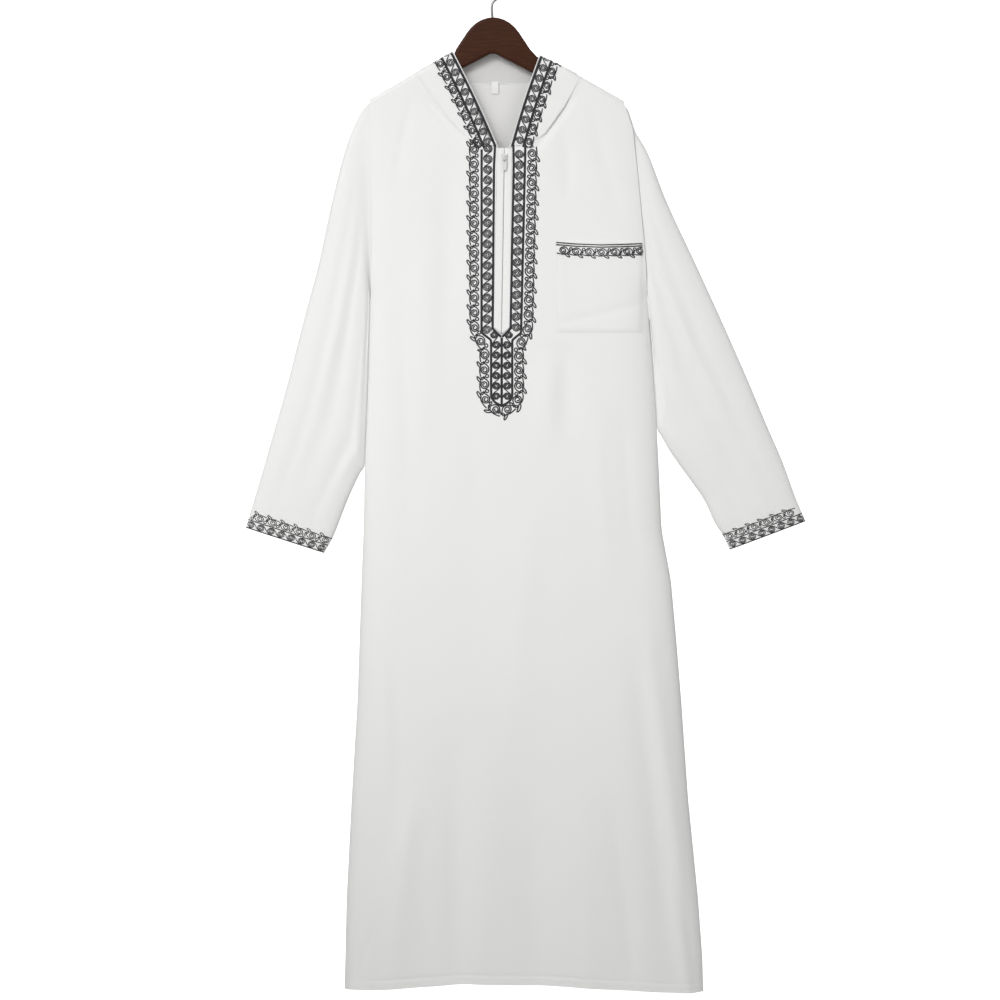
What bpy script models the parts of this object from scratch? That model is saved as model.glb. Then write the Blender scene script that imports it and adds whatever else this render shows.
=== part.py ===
"""A hooded white thobe hung on a flat wooden hanger.

The origin is the inside top of the hanger's hook. +Z is up, the front faces -Y, and the wearer's
left arm is on the +X side. Tables are in millimetres, and meshes are written in metres.
"""

import math

import bmesh
import bpy
from mathutils import Vector

MM = 0.001

# Cloth and seams.
WALL = 1.4
SEAM = 0.3
# A sleeve's outer face under a panel's outer face at each armhole: the slanting wall and a gap.
LAP = {-1: 2.2, 1: 4.3}

# Body outline, hung a little to the wearer's left. A row for each level.
BODY_COLUMNS = ("z", "right_edge", "left_edge", "front_depth", "back_depth", "squareness")
BODY = (
    (-120.0, -186.0, 195.0, 10.6, 10.6, 18.0),
    (-192.0, -186.0, 196.0, 11.4, 11.0, 18.0),
    (-234.0, -183.0, 210.0, 13.0, 11.5, 18.0),
    (-300.0, -182.0, 217.0, 15.0, 12.0, 17.0),
    (-417.0, -181.5, 228.0, 18.0, 13.5, 15.0),
    (-492.0, -184.5, 233.0, 20.0, 15.0, 12.0),
    (-642.0, -189.0, 244.5, 22.0, 18.0, 9.0),
    (-738.0, -193.0, 249.5, 23.0, 20.0, 9.0),
    (-837.0, -195.0, 254.0, 24.0, 22.0, 8.0),
    (-912.0, -198.0, 268.0, 25.0, 24.0, 8.0),
    (-1000.0, -201.0, 276.0, 26.0, 25.0, 8.0),
    (-1092.0, -204.0, 283.5, 28.0, 27.0, 7.0),
    (-1242.0, -213.0, 294.0, 30.0, 29.0, 7.0),
    (-1392.0, -220.5, 309.0, 32.0, 31.0, 6.0),
    (-1482.0, -222.5, 315.5, 33.0, 32.0, 6.0),
    (-1540.0, -224.0, 317.0, 33.0, 32.0, 6.0),
)

# Shoulder ridge: where the cloth lies over the hanger's arms.
# Columns: x, z.
RIDGE = (
    (-260.0, -232.0), (-88.5, -132.0), (-67.5, -120.0), (-58.0, -116.5), (0.0, -112.0),
    (58.0, -117.6), (93.0, -132.0), (260.0, -226.4),
)
RIDGE_ROUND = 9.0  # height over which the cloth rounds over the hanger
UNDERARM_Z = -486.0
UNDERARM_BLEND = 46.0
BACK_MIDDLE_HALF = 12.0  # half width of the back's two middle columns
ARMHOLE_CUT = 0.95  # share of the half width at which an open armhole ends its panel
NECK_POINT = {-1: 117.0, 1: 134.0}

# Neck edges: x from the wearer's right to left, and height.
# Columns: x, z.
FRONT_NECK = (
    (-117.0, -148.6), (-115.4, -151.5), (-113.2, -155.5), (-110.0, -161.5), (-88.5, -192.0),
    (-62.0, -226.0), (-34.5, -254.0), (-8.0, -261.0), (17.0, -262.0), (40.0, -261.0),
    (58.0, -256.0), (78.0, -243.0), (107.0, -202.0), (127.0, -168.5), (130.2, -162.3),
    (132.4, -158.2), (134.0, -155.2),
)
BACK_NECK = (
    (-117.0, -148.6), (-115.4, -151.0), (-113.2, -154.0), (-110.0, -157.0), (-92.0, -161.0),
    (-40.0, -163.5), (9.0, -164.5), (60.0, -163.5), (110.0, -162.8), (127.0, -162.3),
    (130.2, -160.4), (132.4, -157.6), (134.0, -155.2),
)

# Lower edge of the front: x and height.
# Columns: x, z.
HEM = (
    (-224.0, -1522.0), (-201.0, -1525.5), (-156.0, -1524.0), (-66.0, -1517.0), (-43.0, -1515.0),
    (24.0, -1516.5), (92.0, -1518.0), (204.0, -1525.0), (294.0, -1530.0), (317.0, -1526.0),
)

# Zip window in the front, which leans with the hung garment.
ZIP_TOP_Z = -267.0
ZIP_TOP_X = 17.4
ZIP_END_Z = -544.2
ZIP_END_X = 13.0
ZIP_SHOULDER_Z = -533.6
ZIP_HALF_TOP = 10.9
ZIP_HALF_END = 12.6

# Folds: a trough is negative. Each runs straight between its ends and fades at both.
# Columns: x_top, z_top, x_end, z_end, width, height.
FRONT_FOLDS = (
    (-69.0, -250.0, -69.0, -540.0, 18.0, -3.0),
    (-104.0, -380.0, -102.0, -720.0, 24.0, 3.0),
    (108.0, -560.0, 108.0, -700.0, 20.0, -3.0),
    (84.0, -570.0, 86.0, -720.0, 18.0, 3.0),
    (-170.0, -880.0, -176.0, -1340.0, 20.0, 5.0),
    (-57.0, -1120.0, -57.0, -1640.0, 24.0, -8.0),
    (-20.0, -1150.0, -8.0, -1640.0, 22.0, 5.0),
    (38.0, -1100.0, 84.0, -1640.0, 26.0, -9.0),
    (130.0, -1180.0, 150.0, -1640.0, 30.0, 5.0),
    (-118.0, -1220.0, -172.0, -1600.0, 20.0, 8.0),
    (-200.0, -1360.0, -200.0, -1640.0, 16.0, -6.0),
    (232.0, -960.0, 312.0, -1640.0, 18.0, 9.0),
    (212.0, -1000.0, 288.0, -1640.0, 20.0, -8.0),
)
BACK_FOLDS = (
    (-90.0, -560.0, -110.0, -1640.0, 26.0, -8.0),
    (-30.0, -700.0, -40.0, -1640.0, 28.0, 6.0),
    (40.0, -520.0, 62.0, -1640.0, 26.0, -9.0),
    (120.0, -640.0, 160.0, -1640.0, 30.0, 6.0),
    (180.0, -860.0, 236.0, -1640.0, 20.0, -7.0),
    (-160.0, -900.0, -176.0, -1640.0, 20.0, 6.0),
)

PANEL_TOP_DROPS = (0.0, 0.9, 2.6, 5.2, 9.5, 22.0)  # first rows under the top edge
PANEL_BLEND_ROWS = 3  # from those to the first shared level
PANEL_LEVELS = [-345.0, -405.0, -450.0, -496.0, -541.0]
PANEL_LOW_ROWS = 13
BACK_HEM_LIFT = -2.0
TINY = 1e-6
CORNER_STEPS = (0.0, 1.6, 3.8, 7.0)  # columns that carry each neck point's edge round the hanger
CORNER_CLEAR = 0.03
PANEL_SIDE_COLUMNS = 11

# Sleeves: outer and inner edge of each section, from the armhole to the cuff, and its half depth.
# Columns: outer_x, outer_z, inner_x, inner_z, depth.
SLEEVE_RIGHT = (
    (-179.0, -190.5, -178.5, -478.0, 9.0),
    (-190.0, -200.0, -190.5, -489.0, 7.6),
    (-198.0, -210.0, -191.5, -505.0, 8.4),
    (-211.0, -239.0, -191.4, -530.0, 11.0),
    (-225.0, -273.0, -190.4, -568.0, 13.0),
    (-243.0, -345.0, -189.6, -620.0, 15.0),
    (-262.0, -434.0, -191.3, -668.0, 16.0),
    (-278.0, -494.0, -192.9, -706.0, 16.0),
    (-294.0, -556.0, -194.8, -738.0, 16.0),
    (-311.0, -622.0, -205.0, -761.0, 16.0),
    (-328.0, -682.0, -216.0, -785.0, 15.0),
    (-344.0, -738.0, -226.0, -810.0, 14.0),
    (-358.0, -786.0, -236.0, -836.0, 13.0),
    (-366.0, -812.0, -243.0, -852.0, 12.0),
    (-372.5, -834.0, -254.5, -872.0, 11.5),
)
SLEEVE_LEFT = (
    (189.0, -190.5, 222.0, -478.0, 9.0),
    (201.0, -204.0, 234.5, -491.0, 7.6),
    (206.0, -219.0, 237.0, -507.0, 8.4),
    (213.0, -239.0, 240.0, -530.0, 11.0),
    (234.0, -272.0, 241.2, -562.0, 13.0),
    (262.0, -344.0, 242.8, -604.0, 15.0),
    (303.0, -432.0, 246.1, -648.0, 16.0),
    (331.0, -493.0, 249.0, -684.0, 16.0),
    (358.0, -553.0, 262.0, -711.0, 16.0),
    (386.0, -617.0, 277.0, -734.0, 16.0),
    (412.0, -679.0, 298.0, -763.0, 15.0),
    (435.0, -732.0, 318.0, -792.0, 14.0),
    (454.0, -784.0, 334.0, -826.0, 13.0),
    (461.5, -802.5, 346.0, -844.5, 12.0),
    (471.0, -824.0, 356.5, -867.0, 11.5),
)
SLEEVE_HALF_POINTS = 12
TUCKED_SECTIONS = 3
SLEEVE_SQUARENESS = 4.0
SLEEVE_ROUNDNESS = 2.4
UNDERARM_REACH = 8.0  # height over the underarm point at which the tucked sleeve's depth is held

# Hood: half sections from its lowest point, up behind the back, over the hanger and down to the neck.
# Offsets are from the middle line sideways and, behind the back panel, outwards from it.
# Columns: edge_dx, edge_z, edge_off, side_dx, side_z, side_off, mid_z, mid_off.
HOOD_BACK = (
    (0.0, -442.0, 14.0, 5.0, -444.0, 8.0, -441.0, 1.5),
    (0.0, -430.0, 20.0, 36.0, -430.0, 9.0, -429.0, 1.2),
    (0.0, -398.0, 24.0, 72.0, -402.0, 10.0, -396.0, 1.2),
    (0.0, -350.0, 26.0, 100.0, -356.0, 11.0, -346.0, 1.2),
    (0.0, -304.0, 27.0, 116.0, -306.0, 11.0, -292.0, 1.2),
    (26.0, -274.0, 26.0, 122.0, -262.0, 11.0, -240.0, 1.2),
    (46.0, -232.0, 24.0, 124.0, -222.0, 10.5, -196.0, 1.2),
    (56.0, -186.0, 20.0, 123.0, -188.0, 9.5, -156.0, 2.0),
    (62.0, -148.0, 13.0, 121.0, -166.0, 7.0, -124.0, 4.5),
)
HOOD_LEAN = -0.08  # sideways shift of the hood's middle line for each millimetre up
HOOD_MIDDLE_X = 5.0
HOOD_MIDDLE_Z = -120.0

HOOD_HALF_POINTS = 9
HOOD_CLOSER = 1.8  # points crowd towards the neck points
HOOD_FAN_ROWS = 7
HOOD_FAN_STEPS = (0, 0.3, 0.6, 1, 2, 3, 4, 5, 6, 7)  # rows from the ridge to the neck seam
HOOD_SEAM_ROWS = 5  # rows whose first point lies on the centre seam, not on the face opening
HOOD_EDGE_DX = (65.0, 10.0)  # face opening: how far sideways it is on the ridge and at the front neck
HOOD_EDGE_END_Z = -258.0
HOOD_EDGE_BOW = -2.0
HOOD_ROLL_Z = -104.0
HOOD_SEAM = 1.5
HOOD_CORNER_GAP = 0.7
HOOD_CORNER_STEP = 0.9  # spacing of the rows' ends along the ridge at each neck point
HOOD_INNER_DROP = 1.5  # the inner layer starts this far under the ridge
HOOD_INNER_CLEAR = 2.6  # least drop of the inner layer under the ridge on the first row
HOOD_SLOPE_REACH = 4.0
HOOD_RIDGE_DROPS = (5.0, 1.6)
HOOD_RIDGE_OUT = 0.5
HOOD_ROLL_OUT = 4.0
BACK_NECK_MIDDLE_Z = -164.0

POCKET_FROM_X = 94.0
POCKET_TO_X = 224.0
POCKET_TOP_Z = -405.0
POCKET_END_Z = -541.0
POCKET_WALL = 1.2

ZIP_SLIT = 0.8
ZIP_END_GAP = 1.0  # between a lip's ends and the window's
ZIP_LAST_ROW = 12.0  # a lip has no row nearer to the window's V than this
SLIDER_Z = -279.0
SLIDER_WIDTH = 9.0
SLIDER_HEIGHT = 13.0
SLIDER_PLATE = 1.8
SLIDER_BACK_Y = -14.9
BRIDGE_HALF = 4.0
BRIDGE_OUT = 3.6
BRIDGE_BAR = 1.0
BRIDGE_WIDTH = 2.4
PULL_WIDTH = 6.4
PULL_WINDOW_WIDTH = 3.4
PULL_WINDOW = 6.2
PULL_LENGTH = 19.0
PULL_BAR = 1.0
PULL_THICK = 0.9
PULL_OUT = 1.3

LABEL_X = 3.0
LABEL_TOP_Z = -166.0
LABEL_WIDTH = 9.0
LABEL_HEIGHT = 12.0
LABEL_THICK = 0.8
LABEL_GAP = 0.35

HANGER_HUMP = (
    (7.5, -66.0), (17.0, -69.0), (25.0, -73.5), (33.0, -80.5), (39.0, -88.0), (49.0, -103.0),
    (55.5, -113.0),
)
HANGER_TOP = (0.0, -65.3)
HANGER_ARM_X = {-1: 58.5, 1: 66.0}
HANGER_DROP = 3.6
HANGER_TIP = {-1: 172.0, 1: 180.0}
HANGER_APEX_Z = -117.6
HANGER_UNDER_FALL = 0.52
HANGER_TOP_BACKS = (0.0, 60.0, 6.0)  # points on the arm's top, measured back from its tip; 0 is its root
HANGER_TIP_ROUND = 5.0
HANGER_END = ((0.0, 12.0), (4.0, 5.0), (12.0, 6.24))  # the tip's underside: back from the tip, up
HANGER_APEX_HALF = 4.0
HANGER_THICK = 12.0
HANGER_ROUND = 3.4
HOOK_STEM_X = -1.0
HOOK_FOOT_Z = -64.7
HOOK_NECK_X = -0.7
HOOK_NECK_Z = -43.5
HOOK_WIRE = 1.9
HOOK_INSIDE = 18.0
HOOK_FROM = -40
HOOK_TO = 200

CLOTH_WHITE = (0.86, 0.86, 0.85)
WOOD_BROWN = (0.055, 0.020, 0.010)
STEEL_GREY = (0.62, 0.62, 0.60)
ZIP_WHITE = (0.80, 0.80, 0.78)


def material(name, colour, roughness, metallic=0.0):
    made = bpy.data.materials.new(name)
    made.use_nodes = True
    shader = made.node_tree.nodes["Principled BSDF"]
    shader.inputs["Base Color"].default_value = (*colour, 1.0)
    shader.inputs["Roughness"].default_value = roughness
    shader.inputs["Metallic"].default_value = metallic
    return made


def clear_scene():
    for obj in list(bpy.data.objects):
        bpy.data.objects.remove(obj, do_unlink=True)


def between(table, key, column, at):
    """A column of a table at a level, on straight lines between its rows, whose keys rise or fall."""
    rows = sorted(table, key=lambda row: row[key])
    if at <= rows[0][key]:
        return rows[0][column]
    for low, high in zip(rows, rows[1:]):
        if at <= high[key]:
            share = (at - low[key]) / (high[key] - low[key])
            return low[column] + (high[column] - low[column]) * share
    return rows[-1][column]


def body(column, z):
    return between(BODY, 0, BODY_COLUMNS.index(column), z)


def smooth(share):
    share = min(max(share, 0.0), 1.0)
    return share * share * (3 - 2 * share)


def side_of(x):
    return 1 if x > 0 else -1


def ridge_z(x):
    return between(RIDGE, 0, 1, x)


def rounding(x, z):
    """0 on the shoulder ridge, 1 once the cloth has come round the hanger."""
    drop = min(max(ridge_z(x) - z, 0.0), RIDGE_ROUND)
    return math.sqrt(1 - (1 - drop / RIDGE_ROUND) ** 2)


def armhole_open(z):
    """1 where the panel stops at the armhole, 0 where it meets the other panel in the side seam."""
    return 1 - smooth((UNDERARM_Z - z) / UNDERARM_BLEND)


def fold_height(folds, x, z):
    total = 0.0
    for x_top, z_top, x_end, z_end, width, height in folds:
        along = (z_top - z) / (z_top - z_end)
        if not 0 < along < 1:
            continue
        middle = x_top + (x_end - x_top) * along
        total += height * math.sin(math.pi * along) ** 0.8 * math.exp(-(((x - middle) / width) ** 2))
    return total


def depth(x, z, which):
    """How far the outer face of the front or back panel lies from the middle plane."""
    right, left = body("right_edge", z), body("left_edge", z)
    cut = 1 - (1 - ARMHOLE_CUT) * armhole_open(z)
    across = min(abs((x - (right + left) / 2) / ((left - right) / 2)) * cut, 1.0)
    full = body(which + "_depth", z)
    folds = FRONT_FOLDS if which == "front" else BACK_FOLDS
    full += fold_height(folds, x, z) * (1 - across ** 6)
    edge = math.sqrt(1 - across ** body("squareness", z))
    return SEAM / 2 + full * edge * rounding(x, z)


def zip_line(z):
    """Middle and half width of the zip window."""
    share = (ZIP_TOP_Z - z) / (ZIP_TOP_Z - ZIP_END_Z)
    share = min(max(share, -0.1), 1.0)
    middle = ZIP_TOP_X + (ZIP_END_X - ZIP_TOP_X) * share
    return middle, ZIP_HALF_TOP + (ZIP_HALF_END - ZIP_HALF_TOP) * share


def column_x(share, z, middle_half):
    """x of a column: share runs from -1 at the wearer's right edge to 1 at the left one."""
    middle = zip_line(z)[0]
    if abs(share) < 1e-9:
        return middle
    start = middle + side_of(share) * middle_half
    end = body("left_edge" if share > 0 else "right_edge", z)
    bent = 1 - (1 - abs(share)) ** 1.35
    return start + (end - start) * bent


def share_at(x, z, middle_half):
    """The column that passes through x at height z."""
    low, high = (0.0, 1.0) if x > zip_line(z)[0] else (-1.0, 0.0)
    for _ in range(40):
        half_way = (low + high) / 2
        if column_x(half_way, z, middle_half(z)) < x:
            low = half_way
        else:
            high = half_way
    return low


def panel_shares(neck, middle_half):
    """Columns from the right edge to the left one, with one through each neck point."""
    one_side = [i / PANEL_SIDE_COLUMNS for i in range(PANEL_SIDE_COLUMNS + 1)]
    shares = [-s for s in reversed(one_side[1:])] + [-TINY, 0.0, TINY] + one_side[1:]
    for corner_x, corner_z, inward in ((*neck[0], 1), (*neck[-1], -1)):
        near = [share_at(corner_x + inward * step, corner_z, middle_half) for step in CORNER_STEPS]
        low, high = min(near), max(near)
        clear = [s for s in shares if not low - CORNER_CLEAR < s < high + CORNER_CLEAR]
        shares = sorted(clear + near)
    return shares


def top_edge(x, neck):
    """Height of a panel's upper edge: its neck edge inside the neck points, else the shoulder ridge."""
    if neck[0][0] < x < neck[-1][0]:
        return between(neck, 0, 1, x)
    return ridge_z(x)


def panel_heights(share, neck, middle_half, hem_lift):
    """Heights of a column's points: close rows under its upper edge, then shared levels to the hem."""
    z_top = neck[0][1]
    for _ in range(16):
        z_top = top_edge(column_x(share, z_top, middle_half(z_top)), neck)
    heights = [z_top - drop for drop in PANEL_TOP_DROPS]
    first = heights[-1]
    for k in range(1, PANEL_BLEND_ROWS):
        heights.append(first + (PANEL_LEVELS[0] - first) * k / PANEL_BLEND_ROWS)
    heights += PANEL_LEVELS
    last_level = PANEL_LEVELS[-1]
    z_end = between(HEM, 0, 1, column_x(share, HEM[0][1], middle_half(HEM[0][1]))) + hem_lift
    for k in range(1, PANEL_LOW_ROWS + 1):
        heights.append(last_level + (z_end - last_level) * k / PANEL_LOW_ROWS)
    return heights


def cross_normals(grid):
    """Unit normals of a grid of points, pointing to its outer side."""
    rows, columns = len(grid), len(grid[0])
    normals = []
    for i in range(rows):
        line = []
        for j in range(columns):
            down = grid[min(i + 1, rows - 1)][j] - grid[max(i - 1, 0)][j]
            right = grid[i][min(j + 1, columns - 1)] - grid[i][max(j - 1, 0)]
            normal = down.cross(right)
            line.append(normal.normalized() if normal.length > 1e-9 else Vector((0, 0, 1)))
        normals.append(line)
    return normals


def wall_mesh(name, outer, inner, keep=None):
    """A closed wall between two grids of points. keep(i, j) says which cells are cloth."""
    rows, columns = len(outer), len(outer[0])
    cells = [
        (i, j)
        for i in range(rows - 1)
        for j in range(columns - 1)
        if keep is None or keep(i, j)
    ]
    made = bmesh.new()
    verts = {}

    def vert(layer, i, j):
        if (layer, i, j) not in verts:
            grid = outer if layer == 0 else inner
            verts[layer, i, j] = made.verts.new(grid[i][j] * MM)
        return verts[layer, i, j]

    sides = {}
    for i, j in cells:
        ring = [(i, j), (i + 1, j), (i + 1, j + 1), (i, j + 1)]
        made.faces.new([vert(0, *p) for p in ring])
        made.faces.new([vert(1, *p) for p in reversed(ring)])
        for a, b in zip(ring, ring[1:] + ring[:1]):
            if (b, a) in sides:
                del sides[b, a]
            else:
                sides[a, b] = True
    for a, b in sides:
        made.faces.new([vert(0, *b), vert(0, *a), vert(1, *a), vert(1, *b)])
    bmesh.ops.triangulate(made, faces=made.faces[:])
    bmesh.ops.recalc_face_normals(made, faces=made.faces[:])
    mesh = bpy.data.meshes.new(name)
    made.to_mesh(mesh)
    made.free()
    return mesh


def add_object(name, mesh, finish, smooth_shading=True):
    obj = bpy.data.objects.new(name, mesh)
    bpy.context.collection.objects.link(obj)
    mesh.materials.append(finish)
    if smooth_shading:
        mesh.shade_smooth()
        mesh.set_sharp_from_angle(angle=math.radians(40))
    return obj


def offset(grid, normals, distance):
    return [[p - n * distance for p, n in zip(row, ns)] for row, ns in zip(grid, normals)]


def panel_grids(which, neck, middle_half):
    facing = -1 if which == "front" else 1
    shares = panel_shares(neck, middle_half)
    lift = 0.0 if which == "front" else BACK_HEM_LIFT
    columns = [
        [
            Vector((column_x(share, z, middle_half(z)), 0, z))
            for z in panel_heights(share, neck, middle_half, lift)
        ]
        for share in shares
    ]
    grid = [list(row) for row in zip(*columns)]
    for row in grid:
        for point in row:
            point.y = facing * depth(point.x, point.z, which)
    normals = cross_normals(grid)
    last = len(shares) - 1
    for i, (line, points) in enumerate(zip(normals, grid)):
        for j, normal in enumerate(line):
            if normal.y * facing < 0:
                normal.negate()
            on_shoulder = i == 0 and not neck[0][0] + 0.1 < points[j].x < neck[-1][0] - 0.1
            if on_shoulder:
                x = points[j].x
                line[j] = Vector((ridge_z(x - 1) - ridge_z(x + 1), 0, 2)).normalized()
            elif j in (0, last) and armhole_open(points[j].z) < 0.02:
                line[j] = Vector((-1 if j == 0 else 1, 0, 0))
    return grid, normals


def middle_column(grid):
    """The column on the zip's middle line."""
    line = grid[-1]
    return min(range(len(line)), key=lambda j: abs(line[j].x - zip_line(line[j].z)[0]))


def front_middle(z):
    """Half width of the front's middle columns, which the zip window takes out."""
    return zip_line(z)[1]


def back_middle(_z):
    return BACK_MIDDLE_HALF


def make_front(cloth):
    grid, normals = panel_grids("front", FRONT_NECK, front_middle)
    middle = middle_column(grid)
    heights = [row[middle].z for row in grid]
    end_row = min(range(len(heights)), key=lambda i: abs(heights[i] - ZIP_END_Z))
    for column, height in ((middle - 1, ZIP_SHOULDER_Z), (middle, ZIP_END_Z), (middle + 1, ZIP_SHOULDER_Z)):
        x = zip_line(height)[0] + (column - middle) * zip_line(height)[1]
        grid[end_row][column] = Vector((x, -depth(x, height, "front"), height))
    inner = offset(grid, normals, WALL)
    mesh = wall_mesh(
        "front", grid, inner, lambda i, j: not (i < end_row and middle - 1 <= j <= middle)
    )
    add_object("front", mesh, cloth)
    return grid, normals


def make_back(cloth):
    grid, normals = panel_grids("back", BACK_NECK, back_middle)
    mesh = wall_mesh("back", grid, offset(grid, normals, WALL))
    return add_object("back", mesh, cloth)


def armhole_room(side, z, which):
    """Half depth left for a sleeve where it comes out under the edge of a panel."""
    z = max(z, UNDERARM_Z + UNDERARM_REACH)
    edge = body("left_edge" if side > 0 else "right_edge", z)
    return max(depth(edge, z, which) - LAP[side], 0.4)


def make_sleeve(name, table, side, cloth):
    """A flat tube through the table's sections, tucked under both panels at the armhole."""
    outer = []
    count = 2 * SLEEVE_HALF_POINTS
    for row, (outer_x, outer_z, inner_x, inner_z, half_depth) in enumerate(table):
        line = []
        for k in range(count + 1):
            angle = 2 * math.pi * k / count
            along = math.cos(angle)
            across = math.sin(angle)
            share = math.copysign(abs(along) ** (2 / SLEEVE_SQUARENESS), along)
            x = (outer_x + inner_x) / 2 + (outer_x - inner_x) / 2 * share
            z = (outer_z + inner_z) / 2 + (outer_z - inner_z) / 2 * share
            y = half_depth * math.copysign(abs(across) ** (2 / SLEEVE_ROUNDNESS), across)
            if row < TUCKED_SECTIONS:
                room = armhole_room(side, z, "front" if y < 0 else "back")
                y = math.copysign(min(abs(y), room), y)
            line.append(Vector((x, y, z)))
        outer.append(line)
    return sleeve_object(name, outer, side, cloth)


def sleeve_object(name, outer, side, cloth):
    """Closes the tube round and gives it its inner face."""
    rows, count = len(outer), len(outer[0]) - 1
    made = bmesh.new()
    layers = []
    for depth_in in (0.0, WALL):
        ring_verts = []
        for i in range(rows):
            ring = []
            for k in range(count):
                ahead = outer[i][(k + 1) % count]
                behind = outer[i][(k - 1) % count]
                down = outer[min(i + 1, rows - 1)][k] - outer[max(i - 1, 0)][k]
                normal = down.cross(ahead - behind).normalized()
                centre = (outer[i][0] + outer[i][count // 2]) / 2
                if normal.dot(outer[i][k] - centre) < 0:
                    normal.negate()
                ring.append(made.verts.new((outer[i][k] - normal * depth_in) * MM))
            ring_verts.append(ring)
        layers.append(ring_verts)
    for ring_verts in layers:
        for i in range(rows - 1):
            for k in range(count):
                after = (k + 1) % count
                made.faces.new(
                    [ring_verts[i][k], ring_verts[i + 1][k], ring_verts[i + 1][after], ring_verts[i][after]]
                )
    for i in (0, rows - 1):
        for k in range(count):
            after = (k + 1) % count
            made.faces.new([layers[0][i][k], layers[0][i][after], layers[1][i][after], layers[1][i][k]])
    bmesh.ops.triangulate(made, faces=made.faces[:])
    bmesh.ops.recalc_face_normals(made, faces=made.faces[:])
    mesh = bpy.data.meshes.new(name)
    made.to_mesh(mesh)
    made.free()
    return add_object(name, mesh, cloth)


def hood_middle(z):
    return HOOD_MIDDLE_X + HOOD_LEAN * (z - HOOD_MIDDLE_Z)


def hood_row_back(row, side):
    """A half section behind the back: along the outer layer to the side fold, then the inner layer."""
    edge_dx, edge_z, edge_off, side_dx, side_z, side_off, mid_z, mid_off = row
    line = []
    for k in range(HOOD_HALF_POINTS + 1):
        turn = math.pi / 2 * k / HOOD_HALF_POINTS
        dx = edge_dx + (side_dx - edge_dx) * math.sin(turn)
        z = edge_z + (side_z - edge_z) * (1 - math.cos(turn))
        out = side_off + (edge_off - side_off) * math.cos(turn) ** 0.7
        line.append((dx, z, out))
    for k in range(1, HOOD_HALF_POINTS + 1):
        turn = math.pi / 2 * k / HOOD_HALF_POINTS
        dx = side_dx * math.cos(turn)
        z = mid_z + (side_z - mid_z) * (1 - math.sin(turn))
        out = mid_off + (side_off - mid_off) * (1 - math.sin(turn)) ** 1.4
        line.append((dx, z, out))
    points = []
    for dx, z, out in line:
        x = hood_middle(z) + side * max(dx, SEAM / 2)
        points.append(Vector((x, depth_behind(x, z) + out, z)))
    return points


def depth_behind(x, z):
    """The back panel's outer face without its rounding over the hanger."""
    return body("back_depth", z) + fold_height(BACK_FOLDS, x, z)


def hood_front_edge(share, side):
    """Edge of the face opening, from the ridge (0) to the front neck (1): x and height."""
    top_dx, low_dx = HOOD_EDGE_DX
    top_z = ridge_z(hood_middle(HOOD_MIDDLE_Z) + side * top_dx)
    z = top_z + (HOOD_EDGE_END_Z - top_z) * share
    dx = top_dx + (low_dx - top_dx) * share + HOOD_EDGE_BOW * math.sin(math.pi * share)
    return hood_middle(z) + side * dx, z


def neck_corner(side, step):
    """The neck point on the ridge, drawn out a little so that the fan of rows has no sliver."""
    x = side * (NECK_POINT[side] - HOOD_CORNER_GAP - HOOD_CORNER_STEP * (HOOD_FAN_ROWS - step))
    return x, ridge_z(x)


def above_neck(neck, x):
    """Height of the hood's lower edge, clear of a neck edge by HOOD_SEAM square to it."""
    reach = HOOD_SLOPE_REACH
    slope = (between(neck, 0, 1, x + reach) - between(neck, 0, 1, x - reach)) / (2 * reach)
    return between(neck, 0, 1, x) + HOOD_SEAM * math.hypot(1, slope)


def hood_row_over(step, side):
    """A half section from over the hanger (step 0) to the neck seam (step HOOD_FAN_ROWS)."""
    share = step / HOOD_FAN_ROWS
    edge_x, edge_z = hood_front_edge(share ** 1.5, side)
    corner_x, corner_z = neck_corner(side, step)
    points = []
    for k in range(HOOD_HALF_POINTS + 1):
        along = 1 - (1 - k / HOOD_HALF_POINTS) ** HOOD_CLOSER
        x = edge_x + (corner_x - edge_x) * along
        straight = edge_z + (corner_z - edge_z) * along
        neck_z = above_neck(FRONT_NECK, x)
        z = straight + (neck_z - straight) * share ** 3 if k < HOOD_HALF_POINTS else corner_z
        z = min(z, ridge_z(x)) if abs(x) > abs(edge_x) - 1 or step == 0 else z
        points.append(Vector((x, -front_cover(x, z), z)))
    middle_z = hood_roll_z(share)
    for k in range(1, HOOD_HALF_POINTS + 1):
        along = (k / HOOD_HALF_POINTS) ** HOOD_CLOSER
        middle_x = hood_middle(middle_z) + side * SEAM / 2
        x = corner_x + (middle_x - corner_x) * along
        start_z = corner_z - HOOD_INNER_DROP
        rise = start_z + (middle_z - start_z) * smooth(along)
        neck_z = above_neck(BACK_NECK, x)
        z = rise + (neck_z - rise) * share ** 2
        z = min(z, ridge_z(x) - HOOD_INNER_CLEAR * (1 - share))
        points.append(Vector((x, back_cover(x, z, share), z)))
    return points


def hood_row_behind_ridge(side, drop):
    """Just behind the ridge: the outer layer comes round the hanger, over the inner layer's roll."""
    points = []
    for k, point in enumerate(hood_row_over(0, side)):
        if k <= HOOD_HALF_POINTS:
            z = ridge_z(point.x) - drop
            y = back_cover(point.x, z, 1.0) + drop * HOOD_RIDGE_OUT
        else:
            z = point.z - drop * 0.5
            y = point.y + drop
        points.append(Vector((point.x, y, z)))
    return points


def front_cover(x, z):
    return SEAM / 2 + (body("front_depth", z) * rounding(x, z))


def back_cover(x, z, share):
    """The inner layer: over its roll behind the hanger, then down to the back neck seam."""
    roll = HOOD_ROLL_OUT * (1 - share) ** 2
    return SEAM / 2 + (body("back_depth", z) + roll) * rounding(x, z)


def hood_roll_z(share):
    """Height of the inner layer's middle: its roll just behind the hanger, falling to the neck seam."""
    return HOOD_ROLL_Z + (BACK_NECK_MIDDLE_Z - HOOD_ROLL_Z) * share ** 1.3


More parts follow.
